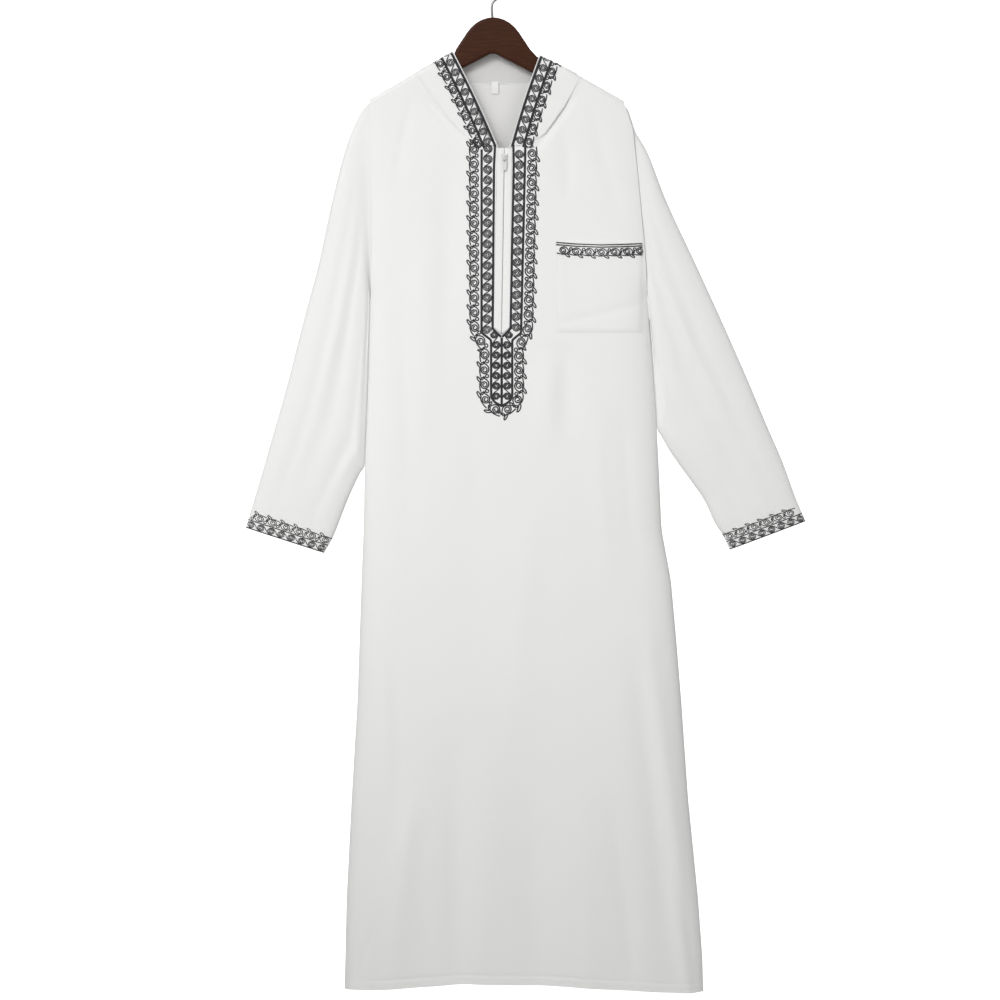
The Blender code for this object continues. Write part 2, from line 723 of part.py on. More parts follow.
def catmull(points, share_index):
    """A smooth curve through points, read at a fractional index."""
    i = min(int(share_index), len(points) - 2)
    t = share_index - i
    p0, p1 = points[max(i - 1, 0)], points[i]
    p2, p3 = points[i + 1], points[min(i + 2, len(points) - 1)]
    return 0.5 * (
        2 * p1
        + (p2 - p0) * t
        + (2 * p0 - 5 * p1 + 4 * p2 - p3) * t ** 2
        + (3 * p1 - p0 - 3 * p2 + p3) * t ** 3
    )


def make_hood_half(name, side, cloth):
    rows = [hood_row_back(row, side) for row in HOOD_BACK]
    rows += [hood_row_behind_ridge(side, drop) for drop in HOOD_RIDGE_DROPS]
    rows += [hood_row_over(step, side) for step in HOOD_FAN_STEPS]
    normals = cross_normals(rows)
    last = len(rows[0]) - 1
    for i, line in enumerate(normals):
        for j, normal in enumerate(line):
            if side < 0:
                normal.negate()
            if j == last or (j == 0 and i < HOOD_SEAM_ROWS):
                normal.x = 0.0
                normal.normalize()
    mesh = wall_mesh(name, rows, offset(rows, normals, WALL))
    return add_object(name, mesh, cloth)


def outline_plate(name, outline, thickness, bevel, finish):
    """An outline in the XZ plane, extruded both ways from the middle plane, with rounded edges."""
    made = bmesh.new()
    verts = [made.verts.new((x * MM, -thickness / 2 * MM, z * MM)) for x, z in outline]
    face = made.faces.new(verts)
    grown = bmesh.ops.extrude_face_region(made, geom=[face])
    moved = [item for item in grown["geom"] if isinstance(item, bmesh.types.BMVert)]
    bmesh.ops.translate(made, verts=moved, vec=(0, thickness * MM, 0))
    bmesh.ops.recalc_face_normals(made, faces=made.faces[:])
    mesh = bpy.data.meshes.new(name)
    made.to_mesh(mesh)
    made.free()
    obj = add_object(name, mesh, finish)
    rounding_edge = obj.modifiers.new("rounded edges", "BEVEL")
    rounding_edge.width = bevel * MM
    rounding_edge.segments = 3
    rounding_edge.limit_method = "ANGLE"
    rounding_edge.angle_limit = math.radians(60)
    return obj


def hanger_side(side):
    """One half of the hanger's outline, from beside its top, along the arm under the cloth and back."""
    points = [(side * dx, z) for dx, z in HANGER_HUMP]
    tip = HANGER_TIP[side]
    for back in HANGER_TOP_BACKS:
        dx = tip - back if back else HANGER_ARM_X[side]
        points.append((side * dx, ridge_z(side * dx) - HANGER_DROP))
    points.append((side * tip, ridge_z(side * tip) - HANGER_DROP - HANGER_TIP_ROUND))
    under = HANGER_APEX_Z - HANGER_UNDER_FALL * tip
    for back, up in HANGER_END:
        points.append((side * (tip - back), under + up))
    points.append((side * HANGER_APEX_HALF, HANGER_APEX_Z - HANGER_UNDER_FALL * HANGER_APEX_HALF))
    return points


def hanger_outline():
    return [HANGER_TOP] + hanger_side(1) + list(reversed(hanger_side(-1)))


def make_hanger(wood):
    return outline_plate("hanger", hanger_outline(), HANGER_THICK, HANGER_ROUND, wood)


def tube(name, points, radius, steel, resolution=3):
    curve = bpy.data.curves.new(name, "CURVE")
    curve.dimensions = "3D"
    curve.bevel_depth = radius * MM
    curve.bevel_resolution = resolution
    curve.use_fill_caps = True
    spline = curve.splines.new("POLY")
    spline.points.add(len(points) - 1)
    for spot, point in zip(spline.points, points):
        spot.co = (*(Vector(point) * MM), 1.0)
    obj = bpy.data.objects.new(name, curve)
    bpy.context.collection.objects.link(obj)
    curve.materials.append(steel)
    return obj


def hook_points():
    """Up from the hanger, over to one side, then round the open hook to its free end."""
    stem = [Vector((HOOK_STEM_X, 0, HOOK_FOOT_Z)), Vector((HOOK_NECK_X, 0, HOOK_NECK_Z))]
    centre_z = -HOOK_INSIDE
    radius = HOOK_INSIDE + HOOK_WIRE
    guide = stem + [
        Vector((radius * math.cos(math.radians(a)), 0, centre_z + radius * math.sin(math.radians(a))))
        for a in range(HOOK_FROM, HOOK_TO + 1, 20)
    ]
    steps = 4 * (len(guide) - 1)
    return [catmull(guide, k / 4) for k in range(steps + 1)]


def make_pocket(grid, normals, cloth):
    """A patch on the front panel, made from that panel's own points moved outwards."""
    rows, columns = pocket_cells(grid)
    outer, inner = [], []
    for i in rows:
        outer.append([grid[i][j] + normals[i][j] * (SEAM + POCKET_WALL) for j in columns])
        inner.append([grid[i][j] + normals[i][j] * SEAM for j in columns])
    return add_object("pocket", wall_mesh("pocket", outer, inner), cloth)


def pocket_cells(grid):
    middle = middle_column(grid)
    level = [row[middle].z for row in grid]
    top = min(range(len(level)), key=lambda i: abs(level[i] - POCKET_TOP_Z))
    low = min(range(len(level)), key=lambda i: abs(level[i] - POCKET_END_Z))
    line = grid[top]
    left = min(range(middle, len(line)), key=lambda j: abs(line[j].x - POCKET_FROM_X))
    right = min(range(middle, len(line)), key=lambda j: abs(line[j].x - POCKET_TO_X))
    return range(top, low + 1), range(left, right + 1)


def make_zip_tape(name, side, grid, cloth):
    """One lip of the zip, in the window of the front panel."""
    middle = middle_column(grid)
    rows = [row[middle].z for row in grid if row[middle].z > ZIP_SHOULDER_Z + ZIP_LAST_ROW]
    top = rows[0] - ZIP_END_GAP
    levels = [top] + rows[2:]
    outer = []
    for z in levels + [ZIP_END_Z + ZIP_END_GAP]:
        centre, half = zip_line(z)
        near, far = ZIP_SLIT / 2, half - SEAM
        line = []
        for share in (0.0, 0.5, 1.0):
            dx = near + (far - near) * share
            point_z = z
            if z < ZIP_SHOULDER_Z + ZIP_END_GAP:
                point_z = ZIP_END_Z + ZIP_END_GAP + (ZIP_SHOULDER_Z - ZIP_END_Z) * dx / half
            x = centre + side * dx
            line.append(Vector((x, -depth(x, point_z, "front"), point_z)))
        outer.append(line)
    inner = [[p + Vector((0, WALL, 0)) for p in line] for line in outer]
    return add_object(name, wall_mesh(name, outer, inner), cloth)


def box_mesh(name, low, high):
    made = bmesh.new()
    bmesh.ops.create_cube(made, size=1.0)
    for vert in made.verts:
        vert.co = Vector(
            [(low[k] + (high[k] - low[k]) * (vert.co[k] + 0.5)) * MM for k in range(3)]
        )
    mesh = bpy.data.meshes.new(name)
    made.to_mesh(mesh)
    made.free()
    return mesh


def make_slider(enamel):
    """The slider's front plate with its bridge, an arch that the pull tab's bar passes under."""
    x = zip_line(SLIDER_Z)[0]
    face = SLIDER_BACK_Y
    half_w, half_h = SLIDER_WIDTH / 2, SLIDER_HEIGHT / 2
    plate = add_object(
        "zip_slider",
        box_mesh(
            "zip_slider",
            (x - half_w, face - SLIDER_PLATE, SLIDER_Z - half_h),
            (x + half_w, face, SLIDER_Z + half_h),
        ),
        enamel,
        False,
    )
    front = face - SLIDER_PLATE
    arch = [
        (0.2, -BRIDGE_HALF), (0.2, BRIDGE_HALF), (-BRIDGE_OUT + 0.8, BRIDGE_HALF),
        (-BRIDGE_OUT, BRIDGE_HALF - 0.8), (-BRIDGE_OUT, -BRIDGE_HALF + 0.8),
        (-BRIDGE_OUT + 0.8, -BRIDGE_HALF),
    ]
    hole = [
        (0.2, -BRIDGE_HALF + BRIDGE_BAR), (0.2, BRIDGE_HALF - BRIDGE_BAR),
        (-BRIDGE_OUT + BRIDGE_BAR + 0.3, BRIDGE_HALF - BRIDGE_BAR),
        (-BRIDGE_OUT + BRIDGE_BAR, BRIDGE_HALF - BRIDGE_BAR - 0.3),
        (-BRIDGE_OUT + BRIDGE_BAR, -BRIDGE_HALF + BRIDGE_BAR + 0.3),
        (-BRIDGE_OUT + BRIDGE_BAR + 0.3, -BRIDGE_HALF + BRIDGE_BAR),
    ]
    bridge = ring_prism("bridge", arch, hole, x, front, BRIDGE_WIDTH)
    bridge.hide_render = True
    bridge.display_type = "WIRE"
    joined = plate.modifiers.new("bridge", "BOOLEAN")
    joined.operation = "UNION"
    joined.object = bridge
    return plate


def ring_prism(name, arch, hole, x, front, width):
    """An arch in the YZ plane, open to its foot, as a bar that follows it."""
    made = bmesh.new()
    path = [arch[1], arch[2], arch[3], arch[4], arch[5], arch[0]]
    within = [hole[1], hole[2], hole[3], hole[4], hole[5], hole[0]]
    loops = []
    for dx in (-width / 2, width / 2):
        outer = [made.verts.new(((x + dx) * MM, (front + y) * MM, (SLIDER_Z + z) * MM)) for y, z in path]
        inner = [made.verts.new(((x + dx) * MM, (front + y) * MM, (SLIDER_Z + z) * MM)) for y, z in within]
        loops.append((outer, inner))
    (outer_a, inner_a), (outer_b, inner_b) = loops
    for k in range(len(path) - 1):
        made.faces.new([outer_a[k], outer_a[k + 1], inner_a[k + 1], inner_a[k]])
        made.faces.new([outer_b[k + 1], outer_b[k], inner_b[k], inner_b[k + 1]])
        made.faces.new([outer_a[k + 1], outer_a[k], outer_b[k], outer_b[k + 1]])
        made.faces.new([inner_a[k], inner_a[k + 1], inner_b[k + 1], inner_b[k]])
    for k in (0, len(path) - 1):
        made.faces.new([outer_a[k], inner_a[k], inner_b[k], outer_b[k]])
    bmesh.ops.recalc_face_normals(made, faces=made.faces[:])
    mesh = bpy.data.meshes.new(name)
    made.to_mesh(mesh)
    made.free()
    obj = bpy.data.objects.new(name, mesh)
    bpy.context.collection.objects.link(obj)
    return obj


def make_pull(enamel):
    """The pull tab: a plate hanging from a bar that passes under the slider's bridge."""
    x = zip_line(SLIDER_Z)[0]
    half = PULL_WIDTH / 2
    window = PULL_WINDOW_WIDTH / 2
    across = (-half, -window, window, half)
    down = (PULL_BAR / 2, -PULL_BAR / 2, -PULL_WINDOW, -PULL_LENGTH + 2, -PULL_LENGTH)
    taper = (0.0, 0.0, 0.0, 0.0, 1.2)
    pivot = Vector((x, SLIDER_BACK_Y - SLIDER_PLATE - PULL_OUT, SLIDER_Z))
    outer, inner = [], []
    for dz, less in zip(down, taper):
        line = [Vector((math.copysign(abs(dx) - less * (abs(dx) == half), dx), 0, dz)) for dx in across]
        outer.append([p + Vector((0, -PULL_THICK / 2, 0)) for p in line])
        inner.append([p + Vector((0, PULL_THICK / 2, 0)) for p in line])
    mesh = wall_mesh("zip_pull", outer, inner, lambda i, j: not (i == 1 and j == 1))
    obj = add_object("zip_pull", mesh, enamel, False)
    obj.location = pivot * MM
    return obj


def make_label(cloth):
    """A small blank tab on the inner face of the back panel, under the neck seam."""
    outer = []
    for z in (LABEL_TOP_Z, LABEL_TOP_Z - LABEL_HEIGHT):
        line = []
        for x in (LABEL_X - LABEL_WIDTH / 2, LABEL_X + LABEL_WIDTH / 2):
            line.append(Vector((x, depth(x, z, "back") - WALL - LABEL_GAP, z)))
        outer.append(line)
    inner = [[p - Vector((0, LABEL_THICK, 0)) for p in line] for line in outer]
    return add_object("neck_label", wall_mesh("neck_label", outer, inner), cloth)


def main():
    clear_scene()
    cloth = material("white cotton", CLOTH_WHITE, 0.85)
    wood = material("brown wood", WOOD_BROWN, 0.45)
    steel = material("steel", STEEL_GREY, 0.3, 1.0)
    enamel = material("white enamel", ZIP_WHITE, 0.4)
    front_grid, front_normals = make_front(cloth)
    make_back(cloth)
    make_sleeve("sleeve_right", SLEEVE_RIGHT, -1, cloth)
    make_sleeve("sleeve_left", SLEEVE_LEFT, 1, cloth)
    make_hood_half("hood_right", -1, cloth)
    make_hood_half("hood_left", 1, cloth)
    make_pocket(front_grid, front_normals, cloth)
    make_zip_tape("zip_tape_right", -1, front_grid, cloth)
    make_zip_tape("zip_tape_left", 1, front_grid, cloth)
    make_slider(enamel)
    make_pull(enamel)
    make_label(cloth)
    make_hanger(wood)
    tube("hanger_hook", hook_points(), HOOK_WIRE, steel)


main()
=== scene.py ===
"""The looks of a hooded white thobe on a wooden hanger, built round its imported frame."""

import math

import bpy
import numpy as np
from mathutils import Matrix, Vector


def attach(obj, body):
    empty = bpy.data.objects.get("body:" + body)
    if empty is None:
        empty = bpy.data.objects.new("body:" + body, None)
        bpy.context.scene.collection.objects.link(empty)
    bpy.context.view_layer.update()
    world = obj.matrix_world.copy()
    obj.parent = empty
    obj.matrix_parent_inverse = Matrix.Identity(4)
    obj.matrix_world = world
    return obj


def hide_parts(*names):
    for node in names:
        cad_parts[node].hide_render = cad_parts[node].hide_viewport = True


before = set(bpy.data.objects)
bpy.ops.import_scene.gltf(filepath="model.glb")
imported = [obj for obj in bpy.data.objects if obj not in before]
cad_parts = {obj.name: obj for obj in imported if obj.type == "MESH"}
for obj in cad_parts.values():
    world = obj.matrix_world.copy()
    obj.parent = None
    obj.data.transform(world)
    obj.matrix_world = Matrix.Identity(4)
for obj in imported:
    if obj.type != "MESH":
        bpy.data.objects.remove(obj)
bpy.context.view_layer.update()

MM = 0.001
WALL = 1.1  # the cloth's thickness
SEAM = 0.3  # the gap between two pieces at a seam
FRONT, BACK = -1, 1
SIDE_NAMES = {-1: "right", 1: "left"}  # the wearer's sides, by the sign of x

# The garment's own sizes, in millimetres, as its solids have them.
BODY_COLUMNS = ("z", "right_edge", "left_edge", "front_depth", "back_depth", "squareness")
BODY = np.array((
    (-120, -186, 195, 10.6, 10.6, 18),
    (-192, -186, 196, 11.4, 11, 18),
    (-234, -183, 210, 13, 11.5, 18),
    (-300, -182, 217, 15, 12, 17),
    (-417, -181.5, 228, 18, 13.5, 15),
    (-492, -184.5, 233, 20, 15, 12),
    (-642, -189, 244.5, 22, 18, 9),
    (-738, -193, 249.5, 23, 20, 9),
    (-837, -195, 254, 24, 22, 8),
    (-912, -198, 268, 25, 24, 8),
    (-1000, -201, 276, 26, 25, 8),
    (-1092, -204, 283.5, 28, 27, 7),
    (-1242, -213, 294, 30, 29, 7),
    (-1392, -220.5, 309, 32, 31, 6),
    (-1482, -222.5, 315.5, 33, 32, 6),
    (-1540, -224, 317, 33, 32, 6),
))
RIDGE = np.array((
    (-260, -232), (-88.5, -132), (-67.5, -120), (-58, -116.5), (0, -112),
    (58, -117.6), (93, -132), (260, -226.4),
))
RIDGE_ROUND = 9
UNDERARM_Z = -486
UNDERARM_RISE = 40  # how far above the underarm the armhole starts to close
UNDERARM_BLEND = 46  # the height over which it closes
ARMHOLE_CUT = 0.95  # where a panel's edge at the open armhole lies on its rounded section
FRONT_NECK = np.array((
    (-117, -148.6), (-115.4, -151.5), (-113.2, -155.5), (-110, -161.5), (-88.5, -192),
    (-62, -226), (-34.5, -254), (-8, -261), (17, -262), (40, -261),
    (58, -256), (78, -243), (107, -202), (127, -168.5), (130.2, -162.3),
    (132.4, -158.2), (134, -155.2),
))
BACK_NECK = np.array((
    (-117, -148.6), (-115.4, -151), (-113.2, -154), (-110, -157), (-92, -161),
    (-40, -163.5), (9, -164.5), (60, -163.5), (110, -162.8), (127, -162.3),
    (130.2, -160.4), (132.4, -157.6), (134, -155.2),
))
HEM = np.array((
    (-224, -1527), (-201, -1526.5), (-156, -1523), (-66, -1517), (-43, -1515),
    (24, -1516.5), (92, -1518), (204, -1525), (294, -1531), (317, -1530.5),
))
ZIP_TOP_Z, ZIP_TOP_X = -267, 17.4
ZIP_END_Z, ZIP_END_X = -544.2, 13
ZIP_SHOULDER_Z = -533.6  # where the slit's sides start to meet
ZIP_HALF_TOP, ZIP_HALF_END = 10.9, 12.6

# Folds: x and z of the upper end, x and z of the lower end, width, height (a trough is negative),
# and how far each wanders sideways.
FRONT_FOLDS = (
    (-69, -250, -69, -540, 18, -3, 0),
    (-104, -380, -102, -720, 24, 3, 0),
    (108, -560, 108, -700, 20, -3, 0),
    (84, -570, 86, -720, 18, 3, 0),
    (-170, -880, -176, -1340, 20, 5, 3),
    (-57, -1120, -57, -1640, 26, -5, 4),
    (-20, -1150, -8, -1640, 24, 2.6, 4),
    (38, -1100, 84, -1640, 30, -5.6, 5),
    (130, -1180, 150, -1640, 32, 2.6, 4),
    (-118, -1220, -172, -1600, 20, 8, 3),
    (-200, -1360, -200, -1640, 16, -6, 0),
    (232, -960, 312, -1640, 18, 9, 3),
    (212, -1000, 288, -1640, 20, -8, 3),
)
BACK_FOLDS = (
    (-90, -560, -110, -1640, 26, -8, 5),
    (-30, -700, -40, -1640, 28, 6, 5),
    (40, -520, 62, -1640, 26, -9, 5),
    (120, -640, 160, -1640, 30, 6, 4),
    (180, -860, 236, -1640, 20, -7, 3),
    (-160, -900, -176, -1640, 20, 6, 3),
)
# Finer creases, in the same columns.
FRONT_CREASES = (
    (-118, -166, -34, -272, 8, -3.6, 0),
    (134, -164, 58, -276, 10, -3.2, 0),
    (-120, -180, -150, -330, 9, -1.6, 2),
    (150, -190, 190, -380, 10, -1.8, 2),
    (110, -215, 112, -345, 12, -2.2, 2),
    (-140, -480, -128, -900, 16, -1.6, 5),
    (-40, -620, -20, -1050, 18, -1.5, 6),
    (60, -700, 40, -1150, 20, 1.6, 6),
    (150, -600, 180, -960, 16, 1.6, 5),
    (196, -640, 214, -930, 11, -1.8, 3),
    (-150, -930, -140, -1250, 12, -1.8, 4),
    (180, -1240, 214, -1600, 15, -3.2, 4),
    (-96, -1330, -110, -1640, 14, -1.4, 3),
    (4, -1300, 20, -1640, 15, -1.2, 3),
    (118, -1350, 122, -1640, 14, -1.2, 3),
    (-200, -924, -172, -950, 6, -3, 0),
    (266, -1015, 248, -1040, 8, -2.4, 0),
    (-170, -1410, -214, -1540, 8, -4.6, 0),
    (-190, -1400, -222, -1550, 7, 3.2, 0),
    (262, -1340, 300, -1570, 7, 4.2, 0),
    (286, -1370, 312, -1570, 7, -5, 0),
)
BACK_CREASES = (
    (-150, -300, -120, -700, 14, -2, 4),
    (170, -280, 150, -690, 15, -2.2, 5),
    (0, -600, 10, -1000, 16, 2, 5),
    (90, -900, 110, -1500, 14, -3, 4),
    (-60, -1100, -70, -1640, 13, -3.2, 4),
    (-190, -1000, -196, -1600, 12, -3, 3),
    (230, -1000, 262, -1600, 12, -3, 3),
)

# Each face's depth column, folds, creases, and the height, seed and length of its unevenness.
FACES = {
    FRONT: ("front_depth", FRONT_FOLDS, FRONT_CREASES, 0.8, 3, 120),
    BACK: ("back_depth", BACK_FOLDS, BACK_CREASES, 0.9, 8, 130),
}
NOISE_WAVES, NOISE_SLANT = 7, 0.45
FOLD_FADE = 0.8  # how softly a fold starts and ends
FOLD_SIDES, CREASE_SIDES = 6, 8  # powers with which they fade out towards the panel's sides
CREASE_FADE = 60  # how far below the shoulders the creases reach their full height

HEM_TURN, HEM_PLY, HEM_STEP = 14, 0.6, 1.5
SHOULDER_SEAM, SHOULDER_SEAM_HALF, SHOULDER_SEAM_X = 6, 1.3, 116
SEAM_DIP = 0.7

COLUMN_EASE = 1.35  # how much closer the columns are at the sides
BEYOND_TABLE = 60  # how far a table's first and last values are carried on
EDGE_SPREAD, DEPTH_SPREAD, RIDGE_SPREAD = 14, 40, 3  # how far a table's corners are rounded


def smoothed(table, column, spread):
    """A lookup of a table's column, with its corners rounded."""
    order = np.argsort(table[:, 0])
    keys, values = table[order, 0], table[order, column]
    at = np.arange(keys[0] - BEYOND_TABLE, keys[-1] + BEYOND_TABLE + 1, 1.0)
    taps = np.exp(-np.linspace(-2.2, 2.2, 2 * spread + 1) ** 2 / 2)
    padded = np.pad(np.interp(at, keys, values), spread, mode="edge")
    line = np.convolve(padded, taps / taps.sum(), mode="valid")
    return lambda where: np.interp(where, at, line)


body = {
    name: smoothed(BODY, k, EDGE_SPREAD if name.endswith("edge") else DEPTH_SPREAD)
    for k, name in enumerate(BODY_COLUMNS) if k
}
ridge_z = smoothed(RIDGE, 1, RIDGE_SPREAD)
hem_z = smoothed(HEM, 1, EDGE_SPREAD)


def smooth(share):
    """An S curve from 0 to 1."""
    share = np.clip(share, 0.0, 1.0)
    return share * share * (3 - 2 * share)


def bell(distance, width):
    return np.exp(-((distance / width) ** 2))


def unit(vectors):
    return vectors / np.maximum(np.linalg.norm(vectors, axis=-1, keepdims=True), 1e-9)


def paired(first, second):
    """Two numbers or arrays as float arrays of one shape."""
    return np.broadcast_arrays(np.asarray(first, float), np.asarray(second, float))


def full_turn(steps):
    return 2 * np.pi * np.arange(steps) / steps


def running_length(points):
    """How far each point of a line is along it."""
    steps = np.linalg.norm(np.diff(points, axis=0), axis=1)
    return np.concatenate([[0], np.cumsum(steps)])


def body_edge(side, z):
    return body[SIDE_NAMES[side] + "_edge"](z)


def quarter_round(distance, radius):
    """0 at an edge and 1 a radius away from it, along a quarter circle."""
    return np.sqrt(np.maximum(1 - np.clip(1 - distance / radius, 0, 1) ** 2, 0))


def rounding(x, z):
    return quarter_round(ridge_z(x) - z, RIDGE_ROUND)


def armhole_open(z):
    return 1 - smooth((UNDERARM_Z + UNDERARM_RISE - z) / UNDERARM_BLEND)


def fold_height(folds, x, z):
    """The folds' heights added up. Each fades out at both ends and is a little uneven."""
    total = np.zeros(np.broadcast(x, z).shape)
    for number, (x_top, z_top, x_end, z_end, width, height, wander) in enumerate(folds):
        down = np.clip((z_top - z) / (z_top - z_end), 0, 1)
        middle = x_top + (x_end - x_top) * down + wander * np.sin(5.3 * down + number)
        wide = width * (1 + 0.18 * np.sin(3.1 * down + 2 * number))
        total += height * np.sin(np.pi * down) ** FOLD_FADE * bell(x - middle, wide)
    return total


def soft_noise(x, z, seed, size):
    """Low, broad unevenness from a few crossed waves."""
    rng = np.random.default_rng(seed)
    total = 0.0
    for _ in range(NOISE_WAVES):
        angle = rng.uniform(-0.5, 0.5)
        length = size * rng.uniform(0.7, 1.7)
        phase = rng.uniform(0, 2 * np.pi)
        along = x * math.cos(angle) + z * math.sin(angle) * NOISE_SLANT
        total = total + np.sin(along * 2 * np.pi / length + phase)
    return total / NOISE_WAVES


def depth(x, z, facing):
    """How far the outer face of the front or back lies from the middle plane."""
    x, z = np.asarray(x, float), np.asarray(z, float)
    column, folds, creases, unevenness, seed, size = FACES[facing]
    right, left = body_edge(-1, z), body_edge(1, z)
    cut = 1 - (1 - ARMHOLE_CUT) * armhole_open(z)
    across = np.clip(np.abs((x - (right + left) / 2) / ((left - right) / 2)) * cut, 0, 1)
    full = body[column](z) + fold_height(folds, x, z) * (1 - across ** FOLD_SIDES)
    fine = fold_height(creases, x, z) + unevenness * soft_noise(x, z, seed, size)
    below_ridge, above_hem = ridge_z(x) - z, z - hem_z(x)
    fine = fine * (1 - across ** CREASE_SIDES) * smooth(below_ridge / CREASE_FADE)
    fine = fine + HEM_PLY * smooth((HEM_TURN - above_hem) / HEM_STEP)
    fine = fine - SEAM_DIP * bell(above_hem - HEM_TURN, HEM_STEP)
    shoulder = bell(below_ridge - SHOULDER_SEAM, SHOULDER_SEAM_HALF)
    fine = fine - SEAM_DIP * shoulder * (np.abs(x) > SHOULDER_SEAM_X)
    edge = np.sqrt(np.maximum(1 - across ** body["squareness"](z), 0))
    return SEAM / 2 + (full + fine) * edge * rounding(x, z)


def zip_line(z):
    """The x of the zip's middle line, and half the slit's width."""
    share = np.clip((ZIP_TOP_Z - z) / (ZIP_TOP_Z - ZIP_END_Z), -0.1, 1.0)
    middle = ZIP_TOP_X + (ZIP_END_X - ZIP_TOP_X) * share
    return middle, ZIP_HALF_TOP + (ZIP_HALF_END - ZIP_HALF_TOP) * share


def column_x(share, z, middle_half):
    """The x of a panel's column: share is -1 to 1 over the zip window and -2 or 2 at the sides."""
    middle = zip_line(z)[0]
    end = np.where(share > 0, body_edge(1, z), body_edge(-1, z))
    start = middle + np.sign(share) * middle_half
    bent = 1 - (1 - np.clip(np.abs(share) - 1, 0, 1)) ** COLUMN_EASE
    return np.where(np.abs(share) < 1, middle + share * middle_half, start + (end - start) * bent)


# --- Meshes from grids of points

SHARP_ANGLE = math.radians(50)


def grid_normals(points, wrap=False):
    down = np.gradient(points, axis=0)
    if wrap:
        across = np.roll(points, -1, 1) - np.roll(points, 1, 1)
    else:
        across = np.gradient(points, axis=1)
    return unit(np.cross(down, across))


def cloth(name, outer, inner, keep=None, wrap=False, lining=None):
    """A closed, worn wall between an outer and an inner grid. keep marks the cells it covers."""
    rows, columns = outer.shape[:2]
    cell_columns = columns if wrap else columns - 1
    if keep is None:
        keep = np.ones((rows - 1, cell_columns), bool)
    index = np.arange(rows * columns).reshape(rows, columns)
    after = np.roll(index, -1, 1)
    corners = np.stack([index[:-1], index[1:], after[1:], after[:-1]], -1)
    quads = corners[:, :cell_columns][keep]
    # An edge that only one cell has is on the rim, and gets a face between the two layers.
    edges = np.concatenate([quads[:, [k, (k + 1) % 4]] for k in range(4)])
    key = np.sort(edges, axis=1)
    code = key[:, 0].astype(np.int64) * (rows * columns) + key[:, 1]
    _, first, count = np.unique(code, return_index=True, return_counts=True)
    rim = edges[first[count == 1]]
    total = rows * columns
    rim_quads = np.stack([rim[:, 1], rim[:, 0], rim[:, 0] + total, rim[:, 1] + total], -1)
    faces = np.concatenate([quads, quads[:, ::-1] + total, rim_quads])
    points = np.concatenate([outer.reshape(-1, 3), inner.reshape(-1, 3)])
    used = np.unique(faces)
    renumber = np.full(2 * total, -1)
    renumber[used] = np.arange(len(used))
    made = mesh_object(name, points[used] * MM, renumber[faces].tolist(), WHITE, sharp=True)
    # The inner faces can take a darker cotton: painted shade for insides that little light reaches.
    if lining:
        made.data.materials.append(lining)
        for face in made.data.polygons[len(quads):2 * len(quads)]:
            face.material_index = 1
    return wear(made)


def new_object(name, data):
    made = bpy.data.objects.new(name, data)
    bpy.context.collection.objects.link(made)
    return made


def mesh_object(name, points, faces, material, sharp=False):
    """A smoothly shaded mesh in metres, with its corners left sharp where asked for."""
    mesh = bpy.data.meshes.new(name)
    mesh.from_pydata(points.tolist(), [], faces)
    made = new_object(name, mesh)
    mesh.materials.append(material)
    mesh.shade_smooth()
    if sharp:
        mesh.validate()
        mesh.set_sharp_from_angle(angle=SHARP_ANGLE)
    return made


def wear(obj):
    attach(obj, "garment")
    return obj


# --- Cloth, wood and metal

SHADER = "Principled BSDF"
WEAVE_SCALE, SLUB_SCALE = 420, 900
WOOD_GRAIN = ((0.35, (0.040, 0.013, 0.006, 1)), (0.7, (0.066, 0.022, 0.010, 1)))


def set_values(made, **values):
    """Sets a node's own values and, with _ for a space, its inputs."""
    for key, value in values.items():
        if hasattr(made, key):
            setattr(made, key, value)
        else:
            made.inputs[key.replace("_", " ")].default_value = value
    return made


def new_material(name, color, rough, **values):
    made = bpy.data.materials.new(name)
    made.use_nodes = True
    shader = made.node_tree.nodes[SHADER]
    set_values(shader, Base_Color=(*color, 1.0), Roughness=rough, **values)
    return made


def node(tree, kind, **values):
    return set_values(tree.nodes.new("ShaderNode" + kind), **values)


def wire(tree, *links):
    """Each link is a node and its output, then a node and its input."""
    for source, output, target, entry in links:
        tree.links.new(source.outputs[output], target.inputs[entry])


def cotton(name, color):
    """A fine plain weave: two crossed waves and a little unevenness as a bump."""
    made = new_material(name, color, 0.9, Sheen_Weight=0.25, Sheen_Roughness=0.5,
                        Specular_IOR_Level=0.25)
    tree = made.node_tree
    where = node(tree, "TexCoord")
    warp = node(tree, "TexWave", bands_direction="X", Scale=WEAVE_SCALE)
    weft = node(tree, "TexWave", bands_direction="Z", Scale=WEAVE_SCALE)
    slub = node(tree, "TexNoise", Scale=SLUB_SCALE, Detail=2.0)
    both = node(tree, "Math", operation="MAXIMUM")
    mixed = node(tree, "Math", operation="ADD")
    bump = node(tree, "Bump", Strength=0.05, Distance=0.0002)
    wire(tree, *((where, "Object", texture, "Vector") for texture in (warp, weft, slub)))
    wire(
        tree, (warp, "Fac", both, 0), (weft, "Fac", both, 1), (both, 0, mixed, 0),
        (slub, "Fac", mixed, 1), (mixed, 0, bump, "Height"),
        (bump, "Normal", tree.nodes[SHADER], "Normal"),
    )
    return made


